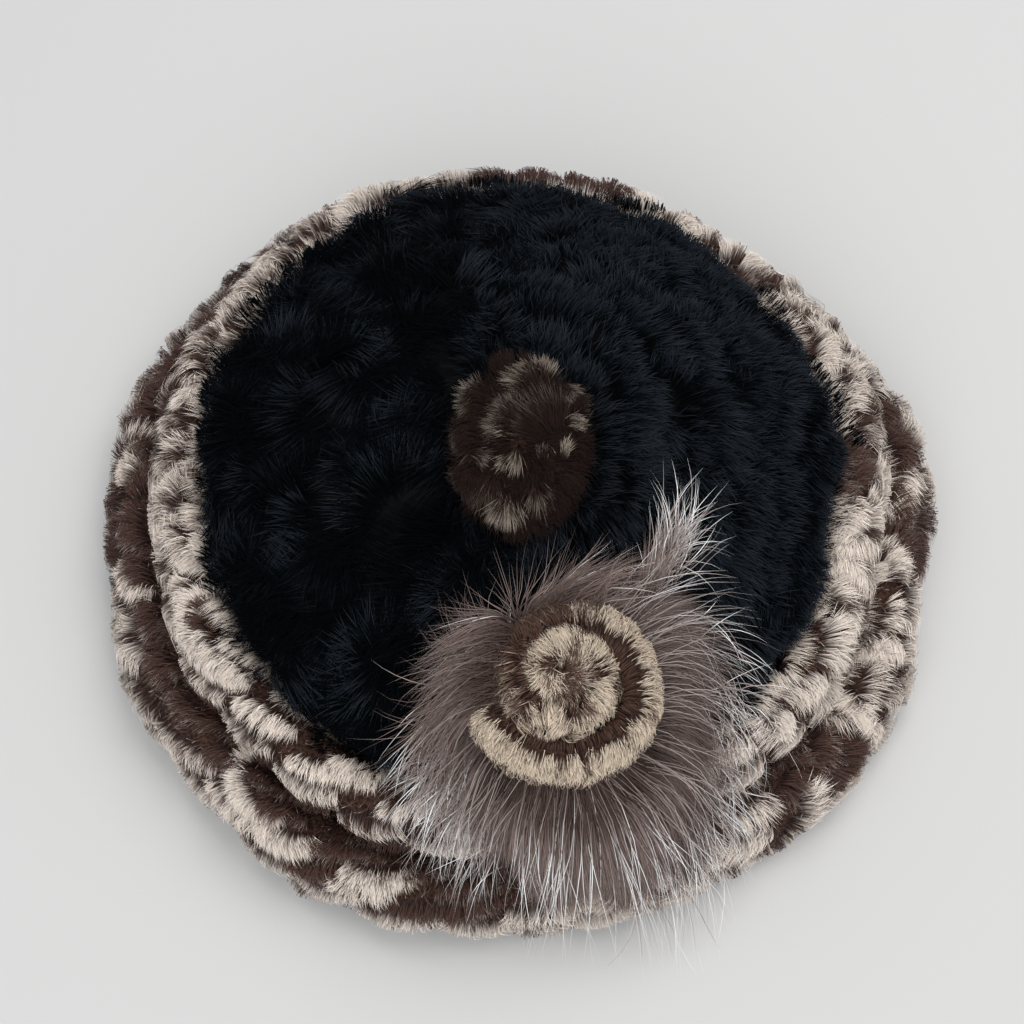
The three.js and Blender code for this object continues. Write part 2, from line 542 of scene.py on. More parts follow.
class HairMesh:
    """Collects hairs as thin pointed blades and makes one mesh of them."""

    def __init__(self, seed: int) -> None:
        """Start with no hair.

        Args:
            seed: Seed of the small differences between hairs.
        """
        self.rng = np.random.default_rng(seed)
        self.points: list[Array] = []
        self.faces: list[Array] = []
        self.coords: list[Array] = []
        self.total = 0

    def lay(self, skin: Skin, hairs: Hairs, blade: Blade) -> None:
        """Lay hairs over a skin.

        Args:
            skin: The surface that they grow on.
            hairs: The hairs.
            blade: The shape of one hair.
        """
        root_depth = 0.6
        stations, facings = [], []
        for share in np.linspace(0, 1, blade.segments + 1):
            heading = hairs.heading + hairs.curl * share / 2
            reach = hairs.length * share
            side = hairs.drift * share
            a = hairs.a + reach * np.cos(heading) + side * np.sin(heading)
            b = hairs.b + reach * np.sin(heading) - side * np.cos(heading)
            if blade.sink:
                up = hairs.rise + (hairs.tip - hairs.rise) * share**blade.sink
            else:
                up = hairs.rise * math.sin(math.pi * min(share * 1.1, 1)) * (1 - share)
                up = up + hairs.tip * share**0.8 - root_depth * (1 - share)
            facing = normals(skin, a, b)
            stations.append(skin.place(a, b) + facing * column(up))
            facings.append(facing)
        self.add(np.stack(stations, 1), np.stack(facings, 1), hairs.tone, blade)

    def add(self, lines: Array, facing: Array, tone: Array, blade: Blade) -> None:
        """Make a pointed blade along each line.

        Args:
            lines: Points of each hair from root to tip.
            facing: Directions that the blades face.
            tone: Paleness of each hair.
            blade: The shape of one hair.
        """
        count, stations, _ = lines.shape
        segments = stations - 1
        run = unit(np.gradient(lines, axis=1))
        across = unit(np.cross(facing, run))
        over = np.cross(run, across)
        turn = self.rng.normal(0, blade.roll, count)[:, None, None]
        half = blade.width / 2 * self.rng.uniform(0.7, 1.25, count)[:, None, None]
        taper = np.interp(np.linspace(0, 1, stations), [0, 0.4, 1], [0.75, 1, 0])[None, :, None]
        edge = (across * np.cos(turn) + over * np.sin(turn)) * half * taper
        pairs = np.stack([lines - edge, lines + edge], axis=2)[:, :-1].reshape(count, -1, 3)
        verts = np.concatenate([pairs, lines[:, -1:]], axis=1)

        # Two triangles for each part of a blade, and one for its tip
        rows = []
        for left in range(0, 2 * segments - 2, 2):
            rows += [[left, left + 1, left + 3], [left, left + 3, left + 2]]
        rows.append([2 * segments - 2, 2 * segments - 1, 2 * segments])
        per_hair = 2 * segments + 1
        faces = np.array(rows)[None] + (np.arange(count) * per_hair)[:, None, None]

        # The chart's column is the hair's tone, and the place up the column is the place along it
        tint = np.clip(np.floor(np.clip(tone, 0, 0.9999) * TONES), 0, TONES - 1)
        u = np.concatenate([np.tile([0.1, 0.9], segments), [0.5]])
        v = np.concatenate([np.repeat(np.linspace(0, 1, stations)[:-1], 2), [1.0]])
        coords = np.stack(
            [(tint[:, None] + u[None]) / TONES, np.broadcast_to(v * 0.98 + 0.01, (count, per_hair))],
            axis=2,
        )
        self.points.append(verts.reshape(-1, 3))
        self.coords.append(coords.reshape(-1, 2))
        self.faces.append(faces.reshape(-1, 3) + self.total)
        self.total += count * per_hair

    def finish(self, name: str, material: bpy.types.Material) -> bpy.types.Object:
        """Make the object.

        Args:
            name: Name of the piece.
            material: Finish of the hair.

        Returns:
            The new object, in the scene.
        """
        points = np.concatenate(self.points) * MM
        points[:, 2] = np.maximum(points[:, 2], LEAST_HEIGHT * MM)
        faces = np.concatenate(self.faces)
        coords = np.concatenate(self.coords)
        mesh = bpy.data.meshes.new(name)
        mesh.vertices.add(len(points))
        mesh.vertices.foreach_set("co", points.astype(np.float32).ravel())
        mesh.loops.add(faces.size)
        mesh.loops.foreach_set("vertex_index", faces.astype(np.int32).ravel())
        mesh.polygons.add(len(faces))
        mesh.polygons.foreach_set("loop_start", np.arange(0, faces.size, 3, dtype=np.int32))
        mesh.polygons.foreach_set("use_smooth", np.ones(len(faces), dtype=bool))
        layer = mesh.uv_layers.new(name=BAKE_UV)
        layer.data.foreach_set("uv", coords[faces.ravel()].astype(np.float32).ravel())
        mesh.update(calc_edges=True)
        mesh.validate()
        return placed(name, mesh, material)


def placed(name: str, mesh: bpy.types.Mesh, material: bpy.types.Material) -> bpy.types.Object:
    """Put a mesh into the scene as an object with one finish.

    Args:
        name: Name of the piece.
        mesh: Its mesh, in metres.
        material: Its finish.

    Returns:
        The new object.
    """
    mesh.materials.append(material)
    piece = bpy.data.objects.new(name, mesh)
    bpy.context.scene.collection.objects.link(piece)
    return piece


# Finishes


def linear(hex_colour: int) -> tuple[float, float, float, float]:
    """Turn an sRGB colour into the numbers that a shader takes.

    Args:
        hex_colour: The colour, such as 0x302824.

    Returns:
        Red, green, blue and a full alpha.
    """
    parts = [(hex_colour >> shift & 255) / 255 for shift in (16, 8, 0)]
    red, green, blue = [p / 12.92 if p <= 0.04045 else ((p + 0.055) / 1.055) ** 2.4 for p in parts]
    return (red, green, blue, 1.0)


class Nodes:
    """A short way to make and link shader nodes in a tree."""

    def __init__(self, tree: bpy.types.NodeTree) -> None:
        """Keep the tree."""
        self.tree = tree

    def new(self, kind: str, **settings: object) -> bpy.types.Node:
        """Add a node.

        Args:
            kind: Blender's name of the node type.
            settings: Values for its properties.

        Returns:
            The node.
        """
        node = self.tree.nodes.new(kind)
        for name, value in settings.items():
            setattr(node, name, value)
        return node

    def link(self, source: object, target: bpy.types.NodeSocket) -> None:
        """Link two sockets, or set a socket.

        Args:
            source: A socket, or the number or colour that the target is set to.
            target: The input.
        """
        if isinstance(source, bpy.types.NodeSocket):
            self.tree.links.new(source, target)
        else:
            target.default_value = source

    def math(self, operation: str, first: object, second: object = 0.0) -> bpy.types.NodeSocket:
        """Compute with two numbers.

        Args:
            operation: Blender's name of what is done.
            first: Number or socket.
            second: Number or socket.

        Returns:
            The result.
        """
        node = self.new("ShaderNodeMath", operation=operation)
        self.link(first, node.inputs[0])
        self.link(second, node.inputs[1])
        return node.outputs[0]

    def remap(
        self, value: object, span: tuple, to: tuple, kind: str = "SMOOTHSTEP"
    ) -> bpy.types.NodeSocket:
        """Map a value from one span to another.

        Args:
            value: Socket to read.
            span: Lowest and highest value read, numbers or sockets.
            to: Values given for them.
            kind: Interpolation.

        Returns:
            The mapped value.
        """
        node = self.new("ShaderNodeMapRange", interpolation_type=kind)
        for source, name in zip((value, *span, *to), ("Value", "From Min", "From Max", "To Min", "To Max")):
            self.link(source, node.inputs[name])
        return node.outputs["Result"]

    def mix(
        self, share: object, first: object, second: object, kind: str = "MIX"
    ) -> bpy.types.NodeSocket:
        """Mix two colours.

        Args:
            share: Share of the second.
            first: Colour or socket.
            second: Colour or socket.
            kind: How they are mixed.

        Returns:
            The mixed colour.
        """
        share_input, first_input, second_input, colour_output = 0, 6, 7, 2
        node = self.new("ShaderNodeMix", data_type="RGBA", blend_type=kind)
        for source, index in ((share, share_input), (first, first_input), (second, second_input)):
            self.link(source, node.inputs[index])
        return node.outputs[colour_output]


def new_group(name: str, inputs: dict[str, float], outputs: tuple[str, ...]) -> bpy.types.NodeTree:
    """Start a shader node group with sockets for numbers.

    Args:
        name: Name of the group.
        inputs: Inputs with their first values.
        outputs: Outputs.

    Returns:
        The group.
    """
    tree = bpy.data.node_groups.new(name, "ShaderNodeTree")
    for socket_name, value in inputs.items():
        socket = tree.interface.new_socket(socket_name, in_out="INPUT", socket_type="NodeSocketFloat")
        socket.default_value = value
    for socket_name in outputs:
        tree.interface.new_socket(socket_name, in_out="OUTPUT", socket_type="NodeSocketFloat")
    return tree


LATEST_TIP = 0.69  # how much later along the darkest hairs the pale tip starts


def hair_chart() -> bpy.types.NodeTree:
    """Build the group that reads a hair's tone and the place along it.

    Returns:
        The group, with outputs Pale (share of the pale tip), Along and Shade.
    """
    found = bpy.data.node_groups.get("hair_chart")
    if found:
        return found
    inputs = {"Tip Start": 0.45, "Tip Soft": 0.2, "Shade Low": 0.8, "Shade High": 1.1, "Deep": 0.0}
    tree = new_group("hair_chart", inputs, ("Pale", "Along", "Shade"))
    nodes = Nodes(tree)
    given = nodes.new("NodeGroupInput")
    result = nodes.new("NodeGroupOutput")
    uv = nodes.new("ShaderNodeUVMap", uv_map=BAKE_UV)
    split = nodes.new("ShaderNodeSeparateXYZ")
    nodes.link(uv.outputs[0], split.inputs[0])
    tone, along = split.outputs[0], split.outputs[1]
    late = nodes.remap(tone, (0.0, 1.0), (LATEST_TIP, 0.0), "LINEAR")
    start = nodes.math("ADD", late, given.outputs["Tip Start"])
    stop = nodes.math("ADD", start, given.outputs["Tip Soft"])
    pale = nodes.remap(along, (start, stop), (0.0, 1.0))
    step = nodes.math("FLOOR", nodes.math("MULTIPLY", tone, float(TONES)))
    chance = nodes.new("ShaderNodeTexWhiteNoise", noise_dimensions="1D")
    nodes.link(step, chance.inputs["W"])
    shades = (given.outputs["Shade Low"], given.outputs["Shade High"])
    shade = nodes.remap(chance.outputs["Value"], (0.0, 1.0), shades, "LINEAR")
    deep = nodes.math("MULTIPLY", nodes.math("SUBTRACT", 1.0, tone), given.outputs["Deep"])
    nodes.link(pale, result.inputs["Pale"])
    nodes.link(along, result.inputs["Along"])
    nodes.link(nodes.math("MULTIPLY", shade, nodes.math("SUBTRACT", 1.0, deep)), result.inputs["Shade"])
    return tree


def fibre_grain() -> bpy.types.NodeTree:
    """Build the group for fine fibres, as underfur and wool have.

    Returns:
        The group, with outputs Share (share of the lighter colour) and Height.
    """
    found = bpy.data.node_groups.get("fibre_grain")
    if found:
        return found
    inputs = {"Grain": 900.0, "Detail": 3.0, "Low": 0.35, "High": 0.65}
    tree = new_group("fibre_grain", inputs, ("Share", "Height"))
    nodes = Nodes(tree)
    given = nodes.new("NodeGroupInput")
    result = nodes.new("NodeGroupOutput")
    where = nodes.new("ShaderNodeTexCoord")
    fine = nodes.new("ShaderNodeTexNoise")
    nodes.link(where.outputs["Object"], fine.inputs["Vector"])
    nodes.link(given.outputs["Grain"], fine.inputs["Scale"])
    nodes.link(given.outputs["Detail"], fine.inputs["Detail"])
    span = (given.outputs["Low"], given.outputs["High"])
    nodes.link(nodes.remap(fine.outputs["Fac"], span, (0.0, 1.0)), result.inputs["Share"])
    nodes.link(fine.outputs["Fac"], result.inputs["Height"])
    return tree


@dataclass(frozen=True)
class Finish:
    """A finish, built as a material the first time that it is asked for.

    Attributes:
        name: Name of the material.
    """

    name: str

    def material(self) -> bpy.types.Material:
        """Build the material, or give the one built before.

        Returns:
            The material.
        """
        found = bpy.data.materials.get(self.name)
        if found:
            return found
        material = bpy.data.materials.new(self.name)
        material.use_nodes = True
        self.dress(Nodes(material.node_tree), material.node_tree.nodes["Principled BSDF"])
        return material

    def dress(self, nodes: Nodes, shader: bpy.types.Node) -> None:
        """Set the shader, in each kind of finish in its own way."""
        raise NotImplementedError

    @staticmethod
    def effect(nodes: Nodes, group: bpy.types.NodeTree, **values: float) -> bpy.types.Node:
        """Place a node group with values of its own.

        Args:
            nodes: The material's nodes.
            group: The group.
            values: Values of its inputs, with an underscore for a space in a name.

        Returns:
            The group's node.
        """
        node = nodes.new("ShaderNodeGroup", node_tree=group)
        for name, value in values.items():
            node.inputs[name.replace("_", " ")].default_value = value
        return node


@dataclass(frozen=True)
class HairFinish(Finish):
    """Colour of a hair from root to tip.

    Attributes:
        root: Colour at the root, sRGB.
        body: Colour below the tip.
        tip: Colour of a pale tip.
        tip_start: Place along the palest hairs where the tip starts.
        tip_soft: Length of the change.
        shade: Darkest and brightest share of a hair's colour.
        deep: Share of its colour that a hair of the lowest tone loses.
        roughness: Roughness.
        specular: Specular level.
        root_end: Place along a hair where the root's colour is gone.
    """

    root: int
    body: int
    tip: int
    tip_start: float = 0.4
    tip_soft: float = 0.2
    shade: tuple[float, float] = (0.8, 1.1)
    deep: float = 0.0
    roughness: float = 0.7
    specular: float = 0.3
    root_end: float = 0.55

    def dress(self, nodes: Nodes, shader: bpy.types.Node) -> None:
        """Colour the hair from its root to its tip.

        Args:
            nodes: The material's nodes.
            shader: Its shader.
        """
        low, high = self.shade
        chart = self.effect(
            nodes, hair_chart(), Tip_Start=self.tip_start, Tip_Soft=self.tip_soft, Shade_Low=low,
            Shade_High=high, Deep=self.deep,
        )
        depth = nodes.remap(chart.outputs["Along"], (0.0, self.root_end), (0.0, 1.0))
        base = nodes.mix(depth, linear(self.root), linear(self.body))
        colour = nodes.mix(chart.outputs["Pale"], base, linear(self.tip))
        shaded = nodes.mix(1.0, colour, chart.outputs["Shade"], "MULTIPLY")
        nodes.link(shaded, shader.inputs["Base Color"])
        shader.inputs["Roughness"].default_value = self.roughness
        shader.inputs["Specular IOR Level"].default_value = self.specular


@dataclass(frozen=True)
class FibreFinish(Finish):
    """Dense underfur or wool: colour that varies in fine fibres, with a bump to match.

    Attributes:
        dark: Darkest colour, sRGB.
        light: Lightest colour.
        grain: Fibres a metre.
        detail: Levels of finer fibres.
        span: Grain heights that give the darkest and the lightest colour.
        bump: Height of the bump in metres.
        roughness: Roughness.
        specular: Specular level.
        sheen: Weight of the soft light along the edges.
    """

    dark: int
    light: int
    grain: float = 900
    detail: float = 3
    span: tuple[float, float] = (0.35, 0.65)
    bump: float = 0.0006
    roughness: float = 0.95
    specular: float = 0.1
    sheen: float = 0.0

    def dress(self, nodes: Nodes, shader: bpy.types.Node) -> None:
        """Colour the fibres and raise them.

        Args:
            nodes: The material's nodes.
            shader: Its shader.
        """
        low, high = self.span
        grain = self.effect(
            nodes, fibre_grain(), Grain=self.grain, Detail=self.detail, Low=low, High=high
        )
        colour = nodes.mix(grain.outputs["Share"], linear(self.dark), linear(self.light))
        nodes.link(colour, shader.inputs["Base Color"])
        bump = nodes.new("ShaderNodeBump")
        bump.inputs["Distance"].default_value = self.bump
        nodes.link(grain.outputs["Height"], bump.inputs["Height"])
        nodes.link(bump.outputs[0], shader.inputs["Normal"])
        shader.inputs["Roughness"].default_value = self.roughness
        shader.inputs["Specular IOR Level"].default_value = self.specular
        shader.inputs["Sheen Weight"].default_value = self.sheen


WOOL = {
    "grain": 1500, "detail": 4, "span": (0.3, 0.7), "bump": 0.0003, "roughness": 0.9, "specular": 0.5,
    "sheen": 0.25,
}


class Finishes:
    """All the finishes of the hat."""

    # painted highlight: the black hair's pale bluish tip is its sheen, showing more on tufts of higher tone
    black = HairFinish(
        "black_fur_hair", 0x000102, 0x010306, 0x2A3037, tip_start=0.25, tip_soft=0.6,
        shade=(0.8, 1.15), roughness=0.75, specular=0.035,
    )
    black_hide = FibreFinish("black_fur_hide", 0x010102, 0x030406)
    frosted = HairFinish("frosted_fur_hair", 0x2E1F1A, 0x4E352D, 0xFDF0E4, tip_start=0.08, tip_soft=0.5)
    patch = HairFinish(
        "crown_patch_hair", 0x0E0906, 0x2E1D17, 0xA4978A, tip_start=0.3, tip_soft=0.45,
        shade=(0.7, 1.15), deep=0.55, specular=0.1,
    )
    rosette = HairFinish("rosette_hair", 0x2E1E18, 0x50372D, 0xF4E2CB, tip_start=0.16, tip_soft=0.5)
    frosted_hide = FibreFinish("frosted_fur_hide", 0x2A1D18, 0x4A352D)
    fox = HairFinish(
        "fox_fur_hair", 0x5C4A43, 0xA08B84, 0xAA9890, tip_start=0.5, tip_soft=0.5,
        shade=(0.6, 1.15), deep=0.62, roughness=0.6, specular=0.14,
    )
    guard = HairFinish(
        "fox_guard_hair", 0x6B5B55, 0xA39590, 0xFFFFFF, tip_start=0.16, tip_soft=0.3,
        shade=(0.85, 1.1), roughness=0.4, specular=0.5,
    )
    fox_hide = FibreFinish("fox_fur_hide", 0x2A2322, 0x55493F)
    knit = FibreFinish("head_band_knit", 0x0B0B0E, 0x24242A, **WOOL)
    lining = FibreFinish("crown_lining_knit", 0x0A0A0C, 0x26262B, **WOOL)


# Bodies and pieces


def spun(
    name: str,
    section: Array,
    steps: int,
    bumps: Waves | None = None,
    height: float = 0.0,
    reshape: Callable[[Array], Array] | None = None,
) -> bmesh.types.BMesh:
    """Turn a closed section about the hat's axis and settle it.

    Args:
        name: Name for the log.
        section: Corners as rows of radius and height.
        steps: Steps round the hat.
        bumps: Unevenness of its surface, or None.
        height: Height of the unevenness.
        reshape: Change made to the neat points before they are settled.

    Returns:
        The settled body in metres, its faces outward.
    """
    body = bmesh.new()
    corners = [body.verts.new((float(r), 0.0, float(z))) for r, z in section]
    edges = [body.edges.new((v, corners[(i + 1) % len(corners)])) for i, v in enumerate(corners)]

    # An edge that lies on the axis would only make a face without area
    turned = [edge for edge in edges if max(abs(v.co.x) for v in edge.verts) > TINY]
    for edge in set(edges) - set(turned):
        body.edges.remove(edge)
    bmesh.ops.spin(
        body, geom=corners + turned, cent=(0, 0, 0), axis=(0, 0, 1), angle=2 * math.pi,
        steps=steps, use_merge=True, use_duplicate=False,
    )
    bmesh.ops.remove_doubles(body, verts=body.verts, dist=1e-4)
    bmesh.ops.recalc_face_normals(body, faces=body.faces)
    points = np.array([v.co for v in body.verts])
    if bumps is not None:
        facing = np.array([v.normal for v in body.verts])
        points = points + facing * column(height * bumps.at(points[:, 0] + points[:, 2], points[:, 1]))
        points[:, 2] = np.maximum(points[:, 2], LEAST_HEIGHT)
    if reshape is not None:
        points = reshape(points)
    for vert, point in zip(body.verts, SLACK.settle(points) * MM):
        vert.co = point
    bmesh.ops.recalc_face_normals(body, faces=body.faces)
    LOG.info("%s body: %d faces", name, len(body.faces))
    return body


def as_piece(body: bmesh.types.BMesh, name: str, material: bpy.types.Material) -> bpy.types.Object:
    """Turn a finished bmesh into an object.

    Args:
        body: The shape, which is freed.
        name: Name of the piece.
        material: Its finish.

    Returns:
        The new object.
    """
    for face in body.faces:
        face.smooth = True
    mesh = bpy.data.meshes.new(name)
    body.to_mesh(mesh)
    body.free()
    return placed(name, mesh, material)


def disc_section(steps: int) -> Array:
    """Draw a flat disc's section, of radius 1 and height 1, with a number of corners to its edge."""
    shares = np.linspace(0, 1, steps)
    return np.array([(r, 0.0) for r in shares] + [(r, 1.0) for r in shares[::-1]])


class Slot(Enum):
    """Material slots of the record."""

    BLACK = "black_fur"
    FROSTED = "frosted_fur"
    FOX = "fox_fur"
    KNIT = "knit"


def declare(piece: bpy.types.Object, slot: Slot, *nodes: str) -> None:
    """Put a piece on the root body, hide the CAD nodes that it stands for and log its triangles.

    Args:
        piece: The piece.
        slot: Its slot; not used.
        nodes: CAD nodes that it replaces.
    """
    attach(piece, "root")
    if nodes:
        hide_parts(*nodes)
    piece.data.calc_loop_triangles()
    LOG.info("%s: %d triangles", piece.name, len(piece.data.loop_triangles))


# The rows of the rim


@dataclass(frozen=True)
class Line:
    """One line of fringes round a row.

    Attributes:
        way: Place over the section, in millimetres along it.
        hair: Length of its hairs.
        size: Length of a fringe.
        tone: Paleness.
        gap: Share of a fringe's length that stays free up to the next one.
        wander: How far the fringes stray across the line.
        share: Share of the row's hairs.
        right: Paleness on the right of the hat, where it differs.
    """

    way: float
    hair: float
    size: float
    tone: float
    gap: float
    wander: float
    share: float
    right: float | None = None


@dataclass(frozen=True)
class Region:
    """How the fringes lie at one bearing of the rim, changing evenly up to the next region.

    Attributes:
        bearing: Where this holds.
        axis: Mean direction of a fringe's line, in degrees.
        axis_spread: Spread of that direction.
        size: Length of a fringe, as a share of its line's.
        skew: Mean lean of the hairs along the line, in degrees.
        skew_spread: Spread of that lean.
        bend_spread: Spread of the degrees by which a line bends.
        hair: Length of the hairs, as a share of their line's.
    """

    bearing: Array | float
    axis: Array | float
    axis_spread: Array | float
    size: Array | float
    skew: Array | float
    skew_spread: Array | float
    bend_spread: Array | float
    hair: Array | float

    @staticmethod
    def at(bearing: Array | float) -> "Region":
        """Blend the regions.

        Args:
            bearing: Bearings on the rim.

        Returns:
            How the fringes lie there.
        """
        places = [region.bearing for region in REGIONS]
        names = [entry.name for entry in fields(Region)]
        return Region(*(np.interp(bearing, places, [getattr(r, name) for r in REGIONS]) for name in names))


REGIONS = (
    Region(0, 0, 28, 0.85, -12, 18, 60, 1.0),
    Region(45, 0, 24, 0.85, -24, 16, 50, 1.0),
    Region(90, 0, 16, 1.0, 0, 12, 30, 1.0),
    Region(150, 0, 18, 1.0, 0, 12, 35, 1.0),
    Region(175, 0, 26, 0.85, 0, 18, 70, 1.0),
    Region(200, -8, 20, 1.1, 0, 12, 50, 0.95),
    Region(215, -19, 5, 1.6, 0, 6, 12, 0.74),
    Region(258, -17, 5, 1.6, 0, 6, 12, 0.74),
    Region(285, -5, 14, 1.1, 0, 10, 30, 0.95),
    Region(330, 0, 26, 0.85, -8, 18, 60, 1.0),
    Region(360, 0, 28, 0.85, -12, 18, 60, 1.0),
)


@dataclass
class FrostedRow:
    """A rolled row of frosted fur round the rim.

    Attributes:
        node: CAD node that it stands for.
        shape: Its section.
        seed: Seed of its unevenness.
        hairs: Number of hairs.
        lines: Its lines of fringes.
        patches: Bearing, way, half angle, half way and tone of charted spots.
        marks: Bearing, way, axis, size, hair, tone, side, fan and bend of charted tufts.
        inset: Depth of the body under the fur's outside.
        fringe_share: Share of the hairs that stand in the lines.
        mark_share: Share of the hairs that stand in the charted tufts.
        darker: Bearing and spread of the darker place at the left, and by how much.
        coat: How the hairs stand.
    """

    node: str
    shape: RowShape
    seed: int
    hairs: int
    lines: tuple[Line, ...]
    patches: tuple
    marks: tuple
    inset: float = 4.2
    fringe_share: float = 0.78
    mark_share: float = 0.1
    darker: tuple = (172, 26, 0.2)
    coat: Coat = Coat(
        rise=4.6, tip=3.8, width=0.28, lock=2.0, gather=0.35, lock_scatter=8, tone_scatter=0.09,
        roll=0.4, lock_tone=0.13, puff=0.2,
    )

    def build(self) -> None:
        """Make the body and its coat."""
        outside, inset = self.shape, self.inset
        low, high = outside.low + inset * 0.4, outside.high - inset
        section = rounded_section(replace(outside, half=outside.half - inset, low=low, high=high))
        body = spun(self.node, section, 160, Waves(self.seed, 18), 0.7)
        piece = as_piece(body, f"{self.node}_body", Finishes.frosted_hide.material())
        declare(piece, Slot.FROSTED, self.node)
        skin = RingSkin(section, outside.middle)
        mesh = HairMesh(self.seed)
        blade = self.coat.blade()
        in_lines, in_marks = round(self.hairs * self.fringe_share), round(self.hairs * self.mark_share)
        for line in self.lines:
            tufts = self.tufts(line)
            mesh.lay(skin, tufts.hairs(mesh.rng, round(in_lines * line.share), self.coat), blade)
        marks = np.array(self.marks, dtype=float)
        marks[:, 0] = np.radians(marks[:, 0]) * outside.middle
        charted = Tufts(*marks.T, np.zeros(len(marks)))
        mesh.lay(skin, charted.hairs(mesh.rng, in_marks, self.coat), blade)
        mesh.lay(skin, self.underfur(skin, mesh.rng, self.hairs - in_lines - in_marks), Blade())
        declare(mesh.finish(f"{self.node}_hair", Finishes.frosted.material()), Slot.FROSTED)

    def tone_at(self, bearing: Array, way: Array, tone: Array) -> Array:
        """Correct tones with the charted spots.

        Args:
            bearing: Degrees from +X.
            way: Place over the section.
            tone: Tone outside the spots.

        Returns:
            The tones.
        """
        for angle, spot_way, half_angle, half_way, spot_tone in self.patches:
            reach = (turn_between(bearing, angle) / half_angle) ** 2 + ((way - spot_way) / half_way) ** 2
            tone = np.where(reach < 1, spot_tone, tone)
        return tone

    def tufts(self, line: Line) -> Tufts:
        """Chart the fringes of one line.

        Args:
            line: The line.

        Returns:
            The fringes.
        """
        rng = np.random.default_rng(self.seed * 31 + round(line.way * 10))
        middle = self.shape.middle
        places = []
        at = rng.uniform(0, line.size)
        while at < 2 * math.pi * middle:
            bearing = math.degrees(at / middle)
            size = line.size * rng.uniform(0.7, 1.3) * float(Region.at(bearing).size)
            places.append((at + size / 2, size))
            at += size * (1 + line.gap * rng.uniform(0, 2))
        a, size = np.array(places).T
        count = len(a)
        bearing = np.degrees(a / middle) % 360
        region = Region.at(bearing)
        right = smooth(-turn_between(bearing, 0), -75, -45)
        b = line.way + rng.normal(0, line.wander, count) * (0.6 + 0.6 * right)
        tone_right = line.tone if line.right is None else line.right
        level = line.tone + (tone_right - line.tone) * right
        dark_at, dark_spread, dark = self.darker
        level = level + 0.13 * right - dark * np.exp(-((turn_between(bearing, dark_at) / dark_spread) ** 2))
        tone_spread = 0.06 + 0.1 * region.axis_spread / 20
        tone = self.tone_at(bearing, b, level + rng.normal(0, tone_spread, count))
        return Tufts(
            a=a,
            b=b,
            axis=rng.normal(region.axis, region.axis_spread),
            size=size,
            hair=line.hair * region.hair * rng.uniform(0.85, 1.15, count),
            tone=tone,
            side=np.ones(count),
            fan=rng.uniform(5, 20, count),
            bend=rng.normal(0, region.bend_spread),
            skew=rng.normal(region.skew, region.skew_spread) - region.axis,
        )

    def underfur(self, skin: RingSkin, rng: np.random.Generator, count: int) -> Hairs:
        """Cover the body with short brown hair.

        Args:
            skin: The row's surface.
            rng: Source of chance.
            count: Number of hairs.

        Returns:
            The hairs.
        """
        end = skin.way[-1]
        a = rng.uniform(0, 2 * math.pi * self.shape.middle, count)
        b = rng.uniform(0.02 * end, 0.98 * end, count)
        heading = np.radians(90 + rng.normal(0, 40, count))
        length = rng.uniform(3, 6, count)
        rise = rng.uniform(1.5, 3, count)
        return Hairs(
            a, b, heading, length, rise, rise * 0.8, rng.uniform(0, 0.3, count), rng.normal(0, 0.4, count),
        )


def upper_row() -> FrostedRow:
    """Chart the upper row.

    Returns:
        The row.
    """
    lines = (
        Line(10.0, 10.0, 15, 0.45, 0.15, 1.5, 0.09),
        Line(19.5, 10.4, 14, 0.95, 0.10, 0.9, 0.27, 0.92),
        Line(29.0, 10.6, 15, 0.95, 0.10, 1.0, 0.28, 0.90),
        Line(38.5, 11.0, 14, 0.85, 0.10, 1.2, 0.24, 0.85),
        Line(48.0, 8.0, 14, 0.30, 0.15, 1.5, 0.12, 0.6),
    )
    patches = (
        (0, 21, 6, 8, 0.05), (40, 21, 4, 6, 0.1), (25, 21, 4, 6, 0.1), (33, 40, 5, 6, 0.08),
        (92, 30, 6, 14, 0.1), (83, 32, 4, 8, 0.12), (73, 28, 4, 8, 0.1),
    )
    marks = (
        (204, 31, 225, 34, 7.5, 0.98, -1, 10, 210), (204, 29, 225, 8, 5, 0.05, -1, 30, 40),
        (184, 44, 10, 10, 9, 0.98, 1, 40, -120), (190, 30, 20, 18, 8, 0.95, -1, 15, 60),
        (346, 26, 80, 20, 8, 0.96, 1, 10, 40), (352, 34, 20, 14, 10, 0.98, 1, 40, -90),
        (18, 24, 70, 16, 9, 0.95, -1, 20, 30), (32, 24, 60, 18, 9, 0.96, -1, 20, 30),
    )
    return FrostedRow("upper_row", UPPER, 11, 62500, lines, patches, marks)


